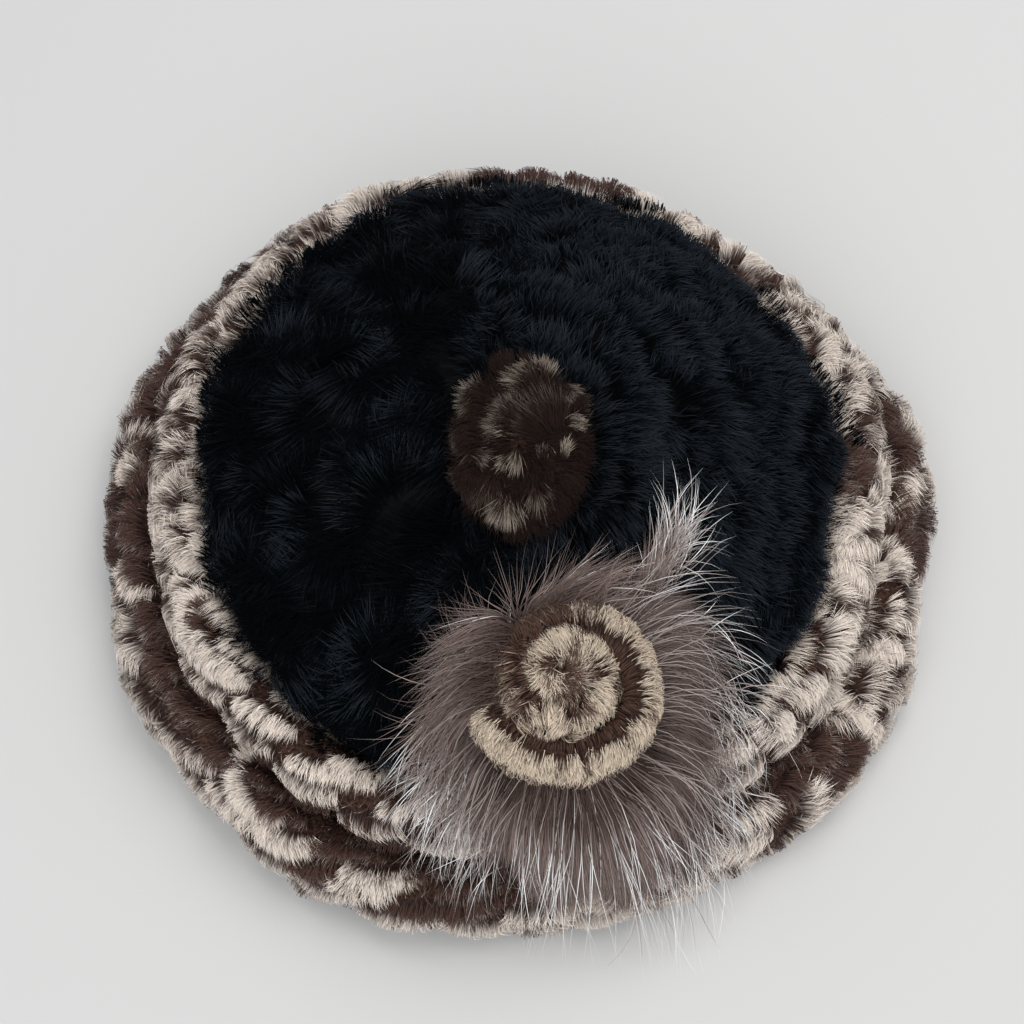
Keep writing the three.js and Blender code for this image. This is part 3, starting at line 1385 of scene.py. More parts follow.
def lower_row() -> FrostedRow:
    """Chart the lower row.

    Returns:
        The row.
    """
    lines = (
        Line(16.0, 9.0, 16, 0.20, 0.15, 1.5, 0.08),
        Line(26.5, 10.0, 15, 0.03, 0.10, 1.2, 0.16, 0.78),
        Line(36.0, 10.5, 14, 0.08, 0.10, 1.2, 0.21, 0.88),
        Line(45.5, 12.0, 15, 0.78, 0.08, 1.2, 0.23, 0.84),
        Line(55.0, 12.0, 15, 0.94, 0.08, 1.0, 0.21, 0.94),
        Line(64.5, 9.0, 15, 0.80, 0.10, 1.5, 0.11),
    )
    patches = (
        (15, 36, 6, 8, 0.05), (-1, 40, 6, 8, 0.05), (-6, 44, 4, 5, 0.08), (317, 38, 8, 12, 0.05),
        (182, 42, 5, 6, 0.08), (198, 36, 7, 8, 0.06), (164, 36, 6, 8, 0.06),
        (240, 34, 22, 9, 0.04), (242, 45, 4, 4, 0.05), (256, 42, 7, 6, 0.05),
    )
    marks = (
        (228, 41, 200, 20, 8, 0.97, -1, 20, 130), (236, 43, 340, 16, 8, 0.95, 1, 20, -30),
        (250, 40, 350, 18, 8, 0.7, 1, 20, -30), (340, 38, 60, 16, 9, 0.95, 1, 25, 40),
        (330, 42, 100, 18, 9, 0.9, 1, 25, 40), (352, 36, 120, 14, 9, 0.92, -1, 25, 60),
        (172, 40, 30, 14, 8, 0.8, 1, 25, 40), (190, 41, 150, 12, 8, 0.8, -1, 25, 40),
    )
    return FrostedRow("lower_row", LOWER, 23, 61000, lines, patches, marks)


# The crown


@dataclass
class BlackCrown:
    """The slack black crown, hollow below.

    Attributes:
        inset: Depth of the body under the fur's outside.
        wall: Depth of the body's underside under the fur's outside.
        hairs: Number of hairs.
        tuft_share: Share of the hairs that stand in tufts, the rest falling over the edge.
        seed: Seed of its unevenness.
        lumps: Lumps of the surface.
        roll: Width of a combed roll.
        roll_drift: Unevenness of the rolls.
        thin_back: Bearing and spread of the place at the back where the edge is cut short.
        coat: How the hairs stand.
    """

    inset: float = 4.8
    wall: float = 12.6
    hairs: int = 52000
    tuft_share: float = 0.85
    seed: int = 5
    lumps: Waves = Waves(41, 38)
    roll: float = 19
    roll_drift: Waves = Waves(43, 90)
    thin_back: tuple = (62, 32)
    coat: Coat = Coat(
        rise=3.6, tip=3.6, width=0.36, thickness=1.8, lock=3.5, gather=0.5, lock_scatter=5, scatter=6,
        tone_scatter=0.06, roll=0.35, puff=0.2,
    )

    def height(self, x: Array, y: Array) -> Array:
        """Give the height of the body, with its soft rolls and lumps.

        Args:
            x: Places from left to right.
            y: Places from front to back.

        Returns:
            The heights.
        """
        radius = np.hypot(x, y)
        left = smooth(-x, -25, 25)
        lumps = self.lumps.at(x, y) * (0.6 + 1.3 * left)
        rolls = np.sin((radius + 4 * self.roll_drift.at(x, y)) * 2 * math.pi / self.roll) * 0.4
        level_edge = smooth(108 - radius, 0, 20)
        return CROWN.height(radius) - self.inset + (lumps + rolls) * 0.9 * level_edge

    def lumpy(self, points: Array) -> Array:
        """Give the top of the neat body the lumps of its coat.

        Args:
            points: Points of the neat body.

        Returns:
            The same points, those of the top raised or lowered.
        """
        x, y, z = points.T
        top = z > CROWN.height(np.hypot(x, y)) - self.inset - 0.5
        return np.stack([x, y, np.where(top, self.height(x, y) - 0.3, z)], axis=1)

    def build(self) -> None:
        """Make the body and its coat."""
        edge = CROWN.radius - self.inset
        section = [(r, CROWN.height(r) - self.wall) for r in np.linspace(0, 95, 12)]
        section += [(97.5, 53.0), (edge - 0.5, 56.0)]
        section += [(r, CROWN.height(r) - self.inset) for r in np.linspace(0, edge, 32)[::-1]]
        shell = spun("crown", np.array(section), 128, reshape=self.lumpy)
        piece = as_piece(shell, "crown_body", Finishes.black_hide.material())
        declare(piece, Slot.BLACK, "crown")
        mesh = HairMesh(self.seed)
        skin = HeightSkin(self.height)
        in_tufts = round(self.hairs * self.tuft_share)
        top = self.tufts().hairs(mesh.rng, in_tufts, self.coat)
        mesh.lay(skin, self.trimmed(top, mesh.rng), self.coat.blade())
        fall = self.edge(mesh.rng, self.hairs - in_tufts)
        mesh.lay(skin, self.trimmed(fall, mesh.rng), self.coat.blade())
        declare(mesh.finish("crown_hair", Finishes.black.material()), Slot.BLACK)

    def trimmed(self, hairs: Hairs, rng: np.random.Generator) -> Hairs:
        """Shorten the hairs that would reach past the crown's ragged edge.

        Args:
            hairs: The hairs.
            rng: Source of chance.

        Returns:
            The same hairs, shortened.
        """
        bearing = np.arctan2(hairs.b, hairs.a)
        back_at, back_spread = self.thin_back
        back = np.exp(-((turn_between(np.degrees(bearing), back_at) / back_spread) ** 2))
        ragged = 1.1 * np.sin(bearing * 31) + 1.6 * np.sin(bearing * 13 + 1) - 1.0 - 3.2 * back
        room = CROWN.radius + ragged + rng.normal(0, 0.8, len(bearing)) - np.hypot(hairs.a, hairs.b)
        outward = np.cos(hairs.heading - bearing)
        limit = np.where(outward > 0.1, room / np.maximum(outward, 0.1), 99)
        hairs.length = np.minimum(hairs.length, np.maximum(limit, 1.5))
        return hairs

    def tufts(self) -> Tufts:
        """Chart the tufts: combed rolls on the right, disordered fans on the left.

        Returns:
            The tufts.
        """
        rng = np.random.default_rng(self.seed)
        rows = []
        for radius in np.arange(4, 104, 7.5):
            size = 26 if radius > 20 else 12
            count = max(4, round(2 * math.pi * radius / (size * 0.6)))
            for index in range(count):
                bearing = 360 * (index + rng.uniform(-0.3, 0.3)) / count
                spot = radius + rng.normal(0, 3.2)
                x, y = spot * math.cos(math.radians(bearing)), spot * math.sin(math.radians(bearing))
                left, back = float(smooth(-x, -20, 25)), float(smooth(y, 10, 70))
                stray = rng.normal(0, 20 + 45 * left)
                long = size * (1 - 0.4 * left) * rng.uniform(0.6, 1.25)
                swell = float(self.lumps.at(np.array([x]), np.array([y]))[0])
                # painted light and shade: tufts on the crests of the lumps are paler, those in the hollows
                # darker
                tone = 0.34 + (0.08 + 0.3 * left) * swell + rng.normal(0, 0.08 + 0.2 * left)
                tone += 0.5 * (1 - left)  # the right and the back look paler in the light
                tone += 0.25 * back
                hair = rng.uniform(10, 15) + rng.uniform(0, 10) * left
                fan = rng.uniform(5, 15) + 32 * left
                bend, skew = rng.normal(0, 18 + 25 * left), rng.normal(0, 8)
                rows.append((x, y, bearing - 90 + stray, long, hair, tone, 1, fan, bend, skew))
        return Tufts(*np.array(rows).T)

    def edge(self, rng: np.random.Generator, count: int) -> Hairs:
        """Plant the hair that falls over the crown's edge.

        Args:
            rng: Source of chance.
            count: Number of hairs.

        Returns:
            The hairs.
        """
        bearing = rng.uniform(0, 2 * math.pi, count)
        radius = rng.uniform(90, 100, count)
        length = rng.uniform(7, 12, count) * (1 + 0.25 * np.sin(bearing * 37) * np.sin(bearing * 23))
        rise = rng.uniform(2, 4.5, count)
        return Hairs(
            radius * np.cos(bearing), radius * np.sin(bearing), bearing + rng.normal(0, 0.35, count),
            length, rise, rise * 0.5, rng.uniform(0, 0.8, count), rng.normal(0, 0.3, count),
        )


# The ornament on the crown

EDGE_OF_HAT = 134  # distance from the middle past which the fan falls


def blanket_line() -> tuple[Array, Array]:
    """Find the line that a blanket takes over the crown and the rows.

    Returns:
        Its distances from the middle and its heights.
    """
    radii = np.arange(0, 142, 2.0)
    tops = CROWN.height(radii) * (radii <= CROWN.radius)
    for row in (UPPER, LOWER):
        share = np.clip(1 - (np.abs(radii - row.middle) / row.half) ** row.power, 0, 1) ** (1 / row.power)
        height = (row.low + row.high) / 2 + (row.high - row.low) / 2 * share
        tops = np.maximum(tops, np.where(np.abs(radii - row.middle) < row.half, height, 0))

    # A point that lies under the straight line past it is dropped
    line: list[tuple[float, float]] = []
    for radius, top in zip(radii, tops):
        while len(line) > 1:
            (r0, z0), (r1, z1) = line[-2:]
            if (z1 - z0) * (radius - r0) > (top - z0) * (r1 - r0):
                break
            line.pop()
        line.append((radius, top))
    return tuple(np.array(line).T)


@dataclass(frozen=True)
class Layer:
    """One layer of the fan's hair.

    Attributes:
        count: Number of hairs.
        short: Length of the shortest, as a share of the fan's reach.
        long: Length of the longest.
        stray: Degrees by which a lock strays.
        low: Height of the lowest hairs, as a share of the fan's depth.
        high: Height of the highest.
    """

    count: int
    short: float
    long: float
    stray: float
    low: float
    high: float


@dataclass(frozen=True)
class Spiral:
    """The line along which the rosette's strip is rolled, from its outer end inward.

    Attributes:
        x: Middle of the spiral on the neat hat.
        y: The same, front to back.
        start: Radius at the outer end.
        end: Radius at the inner end.
        turns: Number of turns.
        bearing: Bearing of the outer end.
        stretch: Width of the rosette, as a share of a circle's.
        flat: Length, front to back, as a share of a circle's.
        drift: Move of the middle from the outer end to the inner one.
    """

    x: float = 17.0
    y: float = -86.5
    start: float = 24.3
    end: float = 5.0
    turns: float = 2.0
    bearing: float = 195.0
    stretch: float = 1.13
    flat: float = 0.95
    drift: tuple = (-4.0, 4.5)

    def at(self, share: Array) -> tuple[Array, Array]:
        """Find places on the line.

        Args:
            share: Shares of the way along it.

        Returns:
            Their x and y on the neat hat.
        """
        angle = np.radians(self.bearing + 360 * self.turns * share)
        radius = self.start + (self.end - self.start) * share
        x = self.x + self.drift[0] * share + self.stretch * radius * np.cos(angle)
        return x, self.y + self.drift[1] * share + self.flat * radius * np.sin(angle)


SPIRAL = Spiral()


@dataclass
class FoxFan:
    """The fan of long fox hair round the rosette.

    Attributes:
        x: Middle of the fan on the neat hat.
        y: The same, front to back.
        depth: Depth of the hair at the middle.
        thin: Depth of the hair at the edge.
        lift: Height of the fan's underside over what it lies on.
        front: How far hair may reach to the front of the middle.
        reach: Bearing and reach of the fan.
        soft: Bearing and reach of its soft hair; single hairs reach further.
        flow: Bearing of the root, first and last heading of the hair, in degrees.
        wisps: Loose brown locks, as taken by locks.
        white: Loose white hairs, as taken by locks.
        thick: Bearing and thickness of the hair.
        tone: Bearing and mean tone of the hair.
        combed: Bearing and spread of the side where the hair parts in short wisps.
        lock_width: Degrees between the roots of a lock.
        wisp_width: Degrees between the roots of a wisp.
        underfur: Layer of the soft underfur.
        longer: Layer of the hair over it.
        guard: Layer of the white guard hairs.
        seed: Seed of its unevenness.
    """

    x: float = 15.0
    y: float = -91.0
    depth: float = 11.0
    thin: float = 3.0
    lift: float = 2.0
    front: float = 57.5
    reach: tuple = (
        (0, 64), (28, 58), (42, 68), (58, 84), (72, 58), (92, 40), (122, 40), (150, 54), (180, 60),
        (215, 66), (245, 52), (270, 47), (300, 54), (330, 70), (360, 64),
    )
    soft: tuple = (
        (0, 48), (27, 54), (43, 53), (50, 51), (60, 48), (70, 45), (83, 41), (103, 35), (124, 32), (144, 35),
        (159, 40), (171, 45), (192, 48), (209, 47), (224, 44), (242, 45), (270, 46), (303, 51), (335, 51),
        (360, 48),
    )
    flow: tuple = (
        (0, 8, -54), (20, 28, -46), (38, 46, -34), (50, 56, -20), (60, 54, 0), (70, 50, 14), (84, 44, 6),
        (100, 38, 8), (117, 34, 12), (122, 60, 30), (126, 152, 192), (140, 172, 218), (160, 196, 236),
        (180, 216, 247), (200, 230, 254), (220, 243, 260), (240, 254, 266), (270, 270, 273), (300, 298, 287),
        (330, 332, 296), (360, 368, 306),
    )
    wisps: tuple = (
        (140, 9, 24, 31, 156, 18, 18, 31, 0.3, 1.1, 130),
        (170, 9, 32, 42, 214, 14, 14, 26, 0.4, 0.7, 90),
        (124, 5, 16, 28, 118, 34, 8, 16, 0.0, 0.8, 150),
        (58, 1.6, 28, 48, 65, 4.5, 18, 30, 0, 0.3, 215),
    )
    white: tuple = (
        (58, 2.0, 42, 62, 66, 10, 16, 30, -0.1, 0.6, 125),
        (56, 3, 46, 56, 44, 14, 14, 26, 0.5, 0.6, 24),
        (22, 14, 40, 54, -5, 24, 12, 25, -1.0, 0.5, 100),
        (328, 16, 38, 50, 306, 14, 15, 28, -0.3, 0.4, 90),
        (342, 8, 40, 50, 332, 13, 14, 26, -0.3, 0.4, 55),
        (192, 18, 30, 42, 222, 14, 14, 25, 0.5, 0.4, 240),
        (205, 16, 24, 36, 236, 11, 16, 26, 0.4, 0.3, 130),
    )
    thick: tuple = (
        (0, 0.72), (45, 0.7), (85, 1.0), (118, 1.0), (124, 0.5), (165, 0.42), (195, 0.5), (225, 0.75),
        (270, 1.2), (360, 0.72),
    )
    tone: tuple = (
        (0, 0.08), (45, 0.18), (80, 0.5), (120, 0.5), (160, 0.35), (210, 0.35), (245, 0.95), (300, 0.95),
        (330, 0.4), (360, 0.08),
    )
    combed: tuple = (185, 42)
    lock_width: float = 3.5
    wisp_width: float = 8
    underfur: Layer = Layer(14500, 0.7, 1.0, 3.5, 0.0, 0.85)
    longer: Layer = Layer(7400, 0.8, 1.1, 5, 0.7, 1.0)
    guard: Layer = Layer(270, 0.98, 1.36, 9, 0.8, 1.5)
    seed: int = 77

    def __post_init__(self) -> None:
        """Measure what the fan lies on."""
        self.blanket = blanket_line()

    def reach_at(self, bearing: Array, table: tuple | None = None) -> Array:
        """Give the fan's reach.

        Args:
            bearing: Bearings from its middle.
            table: Bearing and reach of the line to read, or None for the fan's edge.

        Returns:
            The reaches.
        """
        angles, reaches = np.array(table or self.reach, dtype=float).T
        bearing = np.asarray(bearing) % 360
        after = np.clip(np.searchsorted(angles, bearing, side="right"), 1, len(angles) - 1)
        share = smooth(bearing, angles[after - 1], angles[after])
        return reaches[after - 1] + (reaches[after] - reaches[after - 1]) * share

    def under(self, x: Array, y: Array) -> Array:
        """Give the height of the fan's underside, which falls over the hat's edge."""
        radius = np.hypot(x, y)
        return np.interp(radius, *self.blanket) + self.lift - 0.09 * np.maximum(radius - EDGE_OF_HAT, 0) ** 2

    def over(self, x: Array, y: Array) -> Array:
        """Give the height of the fan's top.

        Args:
            x: Places from left to right.
            y: Places from front to back.

        Returns:
            The heights.
        """
        bearing = np.degrees(np.arctan2(y - self.y, x - self.x))
        out = np.hypot(x - self.x, y - self.y) / self.reach_at(bearing)
        return self.under(x, y) + self.depth + (self.thin - self.depth) * smooth(out, 0.35, 1)

    def build(self) -> None:
        """Make the pelt and its hair."""
        pelt = spun("fox fan", disc_section(12), 96, reshape=self.pelt_points)
        declare(as_piece(pelt, "fox_fan_pelt", Finishes.fox_hide.material()), Slot.FOX, "fox_fan")
        lower, upper = HeightSkin(self.under), HeightSkin(self.over)
        mesh = HairMesh(self.seed)
        long_hair = Blade(5, 0.22, 0.4, 1)
        mesh.lay(lower, self.hairs(mesh.rng, self.underfur), Blade(4, 0.27, 0.35, 1))
        mesh.lay(lower, self.hairs(mesh.rng, self.longer), long_hair)
        mesh.lay(lower, self.locks(mesh.rng, self.wisps), long_hair)
        mesh.lay(upper, self.veil(mesh.rng, 1000), Blade(5, 0.22, 0.4, 1.2))
        declare(mesh.finish("fox_fan_hair", Finishes.fox.material()), Slot.FOX)
        white = HairMesh(self.seed + 1)
        white.lay(lower, self.hairs(white.rng, self.guard), Blade(6, 0.25, 0.5, 1))
        white.lay(lower, self.locks(white.rng, self.white), Blade(6, 0.26, 0.5, 1))
        white.lay(upper, self.veil(white.rng, 30), Blade(6, 0.23, 0.4, 1.2))
        declare(white.finish("fox_guard_hair", Finishes.guard.material()), Slot.FOX)

    def veil(self, rng: np.random.Generator, count: int) -> Hairs:
        """Plant the hairs that lie over the outer turn of the rosette at its back left.

        Args:
            rng: Source of chance.
            count: Number of hairs.

        Returns:
            The hairs.
        """
        bearing = rng.uniform(76, 180, count)
        root = rng.uniform(19.5, 24, count)
        first, last = self.headings(bearing)
        heading = np.radians(0.35 * bearing + 0.65 * first + rng.normal(0, 8, count))
        rise = rng.uniform(12, 15.5, count)
        x = SPIRAL.x + 1.1 * root * np.cos(np.radians(bearing))
        y = SPIRAL.y + root * np.sin(np.radians(bearing))
        length, tip, tone = (rng.uniform(*span, count) for span in ((16, 32), (0, 3), (0, 1)))
        curl = np.radians(last - first) + rng.normal(0, 0.3, count)
        return Hairs(x, y, heading, length, rise, tip, tone, curl)

    def headings(self, bearing: Array) -> tuple[Array, Array]:
        """Give the first and the last heading of hair with roots at bearings, in degrees."""
        at, first, last = np.array(self.flow, dtype=float).T
        return np.interp(bearing, at, first), np.interp(bearing, at, last)

    def locks(self, rng: np.random.Generator, chart: tuple) -> Hairs:
        """Plant loose locks.

        Args:
            rng: Source of chance.
            chart: For each lock the bearing of its roots and its spread, their nearest and furthest
                distance, the heading and its spread, the shortest and longest hair, the curl and its
                spread, and the number of hairs.

        Returns:
            The hairs.
        """
        rows = np.repeat(np.array(chart, dtype=float), [row[-1] for row in chart], axis=0)
        at, at_spread, near, far, way, way_spread, short, long, curl, curl_spread, _ = rows.T
        count = len(rows)
        bearing = np.radians(rng.normal(at, at_spread))
        root = rng.uniform(near, far)
        rise = self.depth * rng.uniform(0.3, 0.8, count)
        heading, length = np.radians(rng.normal(way, way_spread)), rng.uniform(short, long)
        return self.kept(Hairs(
            self.x + root * np.cos(bearing), self.y + root * np.sin(bearing), heading, length, rise,
            rng.uniform(1, 6, count), rng.uniform(0, 1, count), rng.normal(curl, curl_spread),
        ))

    def pelt_points(self, points: Array) -> Array:
        """Spread a flat disc to the pelt's outline and lay it on the hat.

        Args:
            points: Points of the disc, of radius 1.

        Returns:
            Points of the neat hat.
        """
        bearing = np.degrees(np.arctan2(points[:, 1], points[:, 0]))
        reach = 0.62 * self.reach_at(bearing)
        x, y = self.x + points[:, 0] * reach, self.y + points[:, 1] * reach
        share = np.hypot(points[:, 0], points[:, 1])
        top = 0.5 + (self.depth - 4) * np.sqrt(np.clip(1 - share**2, 0, 1))
        return np.stack([x, y, self.under(x, y) + np.where(points[:, 2] > 0.5, top, 0)], axis=1)

    def hairs(self, rng: np.random.Generator, layer: Layer) -> Hairs:
        """Plant one layer of the fan.

        Args:
            rng: Source of chance.
            layer: The layer.

        Returns:
            The hairs.
        """
        table_size = 512
        tries = layer.count * 3
        bearing = rng.uniform(0, 360, tries)
        thick = np.interp(bearing, *np.array(self.thick, dtype=float).T)
        keep = rng.uniform(0, 1, tries) < self.reach_at(bearing) / 90 * thick
        bearing = bearing[keep][:layer.count]
        count = len(bearing)

        # Hairs with near roots share a lock, and all strays of a lock are alike
        lock = np.round(bearing / self.lock_width + rng.normal(0, 0.25, count))
        lock_turn = own_value(Chance.FAN_TURN.table().normal(0, layer.stray, table_size), lock, 7)
        root = 3 + 23 * np.sqrt(rng.uniform(0, 1, count))
        first, last = self.headings(bearing)
        heading = np.radians(first + lock_turn + rng.normal(0, layer.stray * 0.5, count))
        curl = np.radians(last - first) + rng.normal(0, 0.12 + layer.stray * 0.025, count)

        # The hair ends where its chord meets the soft edge, which a few rounds find
        chord = heading + curl / 2
        reach = self.reach_at(np.degrees(chord), self.soft)
        along = root * np.cos(np.radians(bearing) - chord)
        beside = root * np.sin(np.radians(bearing) - chord)
        combed_at, combed_spread = self.combed
        left = np.exp(-((turn_between(bearing, combed_at) / combed_spread) ** 2))
        wisp = np.round(bearing / self.wisp_width + rng.normal(0, 0.1, count))
        wisp_loss = own_value(Chance.WISP_LENGTH.table().uniform(0, 0.36, table_size), wisp, 5)
        share = rng.uniform(layer.short, layer.long, count) - left * (rng.uniform(0, 0.2, count) + wisp_loss)
        for _ in range(3):
            run = np.sqrt(np.maximum((reach * share) ** 2 - beside**2, 0))
            reach = self.reach_at(np.degrees(chord + np.arctan2(beside, np.maximum(run, 1))), self.soft)
        length = np.maximum(run - along, 7)

        to_lock = np.radians(lock * self.lock_width - bearing)
        to_wisp = np.radians(wisp * self.wisp_width - bearing)
        drift = -to_lock * reach * (0.2 + 0.4 * left) - to_wisp * reach * 0.5 * left
        level = rng.uniform(layer.low, layer.high, count)
        tip = (0.5 + 4 * level) * rng.uniform(0.6, 1.5, count)
        lock_tone = own_value(Chance.FAN_TONE.table().uniform(0, 1, table_size), lock, 11)
        tone = np.where(rng.uniform(0, 1, count) < 0.55, lock_tone, rng.uniform(0, 1, count))
        wisp_tone = own_value(Chance.WISP_TONE.table().uniform(-0.5, 0.5, table_size), wisp, 5)
        mean = np.interp(bearing, *np.array(self.tone, dtype=float).T)
        tone = mean + 0.5 * (tone - 0.5) + 0.7 * left * wisp_tone
        return self.kept(Hairs(
            self.x + root * np.cos(np.radians(bearing)), self.y + root * np.sin(np.radians(bearing)),
            heading, length, self.depth * level, tip, tone, curl, drift,
        ))

    def kept(self, hairs: Hairs) -> Hairs:
        """Shorten the hairs that would reach past the fan's front limit.

        Args:
            hairs: The hairs.

        Returns:
            The same hairs, shortened.
        """
        down = np.maximum(-np.sin(hairs.heading + hairs.curl / 2), 0.05)
        hairs.length = np.minimum(hairs.length, np.maximum((hairs.b - self.y + self.front) / down, 2))
        return hairs


@dataclass
class SpiralSkin:
    """The rolled strip of the rosette: a runs inward along it, b runs over its section.

    Attributes:
        fan: The fan that it stands on.
        section: Rows of distance across the strip and height.
        facing: Side on which it faces out.
    """

    fan: FoxFan
    section: Array
    facing: int = -1

    def __post_init__(self) -> None:
        """Measure the way along the strip and over it."""
        self.shares = np.linspace(0, 1, 400)
        self.along = way_along(np.stack(SPIRAL.at(self.shares), axis=1))
        self.way = way_along(self.section)

    def place(self, a: Array, b: Array) -> Array:
        """Give the settled points at the coordinates."""
        across, up = (np.interp(b, self.way, values) for values in self.section.T)
        return SLACK.settle(self.neat(np.interp(a, self.along, self.shares), across, up))

    def neat(self, share: Array, across: Array, up: Array) -> Array:
        """Find points beside and over the strip's centre line.

        Args:
            share: Shares of the way along it.
            across: Distances outward from it.
            up: Heights over the fan.

        Returns:
            The points of the neat hat.
        """
        step = 0.004
        x, y = SPIRAL.at(share)
        ahead, behind = SPIRAL.at(np.minimum(share + step, 1)), SPIRAL.at(np.maximum(share - step, 0))
        way = unit(np.stack([ahead[0] - behind[0], ahead[1] - behind[1]], axis=1))
        x, y = x + across * way[:, 1], y - across * way[:, 0]
        return np.stack([x, y, self.fan.over(x, y) + 0.5 + up], axis=1)


@dataclass(frozen=True)
class StripLine:
    """One line of fringes along the rosette's strip.

    Attributes:
        way: Place over the strip, from the middle of its section.
        hair: Length of the hairs.
        tone: Their paleness.
        side: 1 where they fall outward, -1 inward.
        share: Share of the rosette's hairs.
    """

    way: float
    hair: float
    tone: float
    side: int
    share: float


@dataclass
class Rosette:
    """The strip of frosted fur rolled up on the fan.

    Attributes:
        fan: The fan that it stands on.
        strip: Width of the strip.
        height: Its height.
        inset: Depth of the body under the fur's outside.
        hairs: Number of hairs.
        lines: Its lines of fringes.
        heart_share: Share of the hairs that fill its middle.
        heart_radius: Radius of their roots.
        seed: Seed of its unevenness.
        coat: How the hairs stand.
    """

    fan: FoxFan
    strip: float = 10.8
    height: float = 16.0
    inset: float = 2.6
    hairs: int = 24000
    lines: tuple[StripLine, ...] = (
        StripLine(-1.6, 8.2, 1.0, 1, 0.30),
        StripLine(2.0, 7.6, 1.0, 1, 0.18),
        StripLine(7.5, 7.0, 0.85, 1, 0.11),
        StripLine(13.0, 6.0, 0.7, 1, 0.05),
        StripLine(-1.6, 5.0, 0.03, -1, 0.17),
        StripLine(-5.5, 5.0, 0.05, -1, 0.10),
    )
    heart_share: float = 0.08
    heart_radius: float = 5.6
    seed: int = 61
    coat: Coat = Coat(
        rise=3.4, tip=3.4, width=0.26, thickness=1.0, lock=1.2, gather=0.25, scatter=5, lock_scatter=4,
        tone_scatter=0.08, roll=0.4, lock_tone=0.09, puff=0.06,
    )

    def build(self) -> None:
        """Make the strip and its coat."""
        half = self.strip / 2 - self.inset
        skin = SpiralSkin(self.fan, rounded_section(RowShape(0, half, -0.5, self.height - self.inset, 2.6)))
        declare(self.body(skin), Slot.FROSTED, "rosette")
        mesh = HairMesh(self.seed)
        for line in self.lines:
            tufts = self.tufts(skin, line)
            hairs = tufts.hairs(mesh.rng, round(self.hairs * line.share), self.coat)
            mesh.lay(skin, hairs, self.coat.blade())
        heart = self.heart(mesh.rng, round(self.hairs * self.heart_share))
        mesh.lay(HeightSkin(self.heart_height), heart, self.coat.blade())
        declare(mesh.finish("rosette_hair", Finishes.rosette.material()), Slot.FROSTED)

    def heart_height(self, x: Array, y: Array) -> Array:
        """Give the height at which the middle's hairs stand."""
        return self.fan.over(x, y) + self.height - self.inset - 0.5

    def heart(self, rng: np.random.Generator, count: int) -> Hairs:
        """Plant the mixed pale and brown hair of the rosette's middle.

        Args:
            rng: Source of chance.
            count: Number of hairs.

        Returns:
            The hairs.
        """
        x, y = SPIRAL.x + SPIRAL.drift[0], SPIRAL.y + SPIRAL.drift[1]
        bearing = rng.uniform(0, 2 * math.pi, count)
        root = self.heart_radius * np.sqrt(rng.uniform(0, 1, count))
        tone = 0.5 + 0.35 * np.sin(bearing * 2 + 1) + 0.2 * np.sin(bearing * 7) + rng.normal(0, 0.15, count)
        rise = rng.uniform(1.5, 3.5, count)
        return Hairs(
            x + root * np.cos(bearing), y + root * np.sin(bearing),
            bearing + rng.normal(0.8, 0.7, count), rng.uniform(4.5, 8.0, count), rise, rise * 0.6,
            tone, rng.normal(0.2, 0.3, count),
        )

    def body(self, skin: SpiralSkin) -> bpy.types.Object:
        """Roll the strip's section along the spiral.

        Args:
            skin: The spiral.

        Returns:
            The body.
        """
        steps = 90
        body = bmesh.new()
        face = body.faces.new([body.verts.new((0.0, across, up)) for across, up in skin.section[::3]])
        layer = body.verts.layers.float.new("share")
        for step in range(1, steps + 1):
            made = bmesh.ops.extrude_face_region(body, geom=[face], use_keep_orig=step == 1)
            face = next(part for part in made["geom"] if isinstance(part, bmesh.types.BMFace))
            for vert in face.verts:
                vert[layer] = step / steps
        share = np.array([v[layer] for v in body.verts])
        across, up = np.array([(v.co.y, v.co.z) for v in body.verts]).T
        for vert, point in zip(body.verts, SLACK.settle(skin.neat(share, across, up)) * MM):
            vert.co = point
        bmesh.ops.recalc_face_normals(body, faces=body.faces)
        return as_piece(body, "rosette_body", Finishes.frosted_hide.material())

    def tufts(self, skin: SpiralSkin, line: StripLine) -> Tufts:
        """Chart one line of fringes along the strip.

        Args:
            skin: The spiral.
            line: The line.

        Returns:
            The fringes.
        """
        spacing, open_end = 6.5, 8
        way = skin.way[-1] / 2 + line.way
        rng = np.random.default_rng(self.seed + round(way * 10))
        total = skin.along[-1]
        a = np.arange(3, total - 1, spacing)
        count = len(a)
        a = a + rng.normal(0, 0.8, count)
        inner = smooth(a, total * 0.52, total * 0.72)  # where pale and brown mix
        crescent = smooth(-np.abs(np.interp(a, skin.along, skin.shares) - 0.42), -0.1, -0.05)
        b = way + rng.normal(0, 0.4 + 0.9 * inner, count)
        axis = rng.normal(0, 5 + 26 * inner, count)
        hair = line.hair * (1 - 0.25 * inner) * rng.uniform(0.9, 1.1, count)
        tone = line.tone * (1 - 0.7 * crescent) + rng.normal(-0.12 * inner, 0.06 + 0.26 * inner, count)
        tone = tone + 0.5 * inner * (line.side < 0)
        return Tufts(
            a=a,
            b=b,
            axis=axis,
            size=np.full(count, 8.5),
            hair=hair,
            tone=tone,
            side=np.full(count, line.side),
            fan=rng.uniform(0, 8, count) + 45 * (a < open_end),
            bend=rng.normal(0, 10, count),
            skew=rng.normal(0, 6, count),
        )


# The patch on the crown


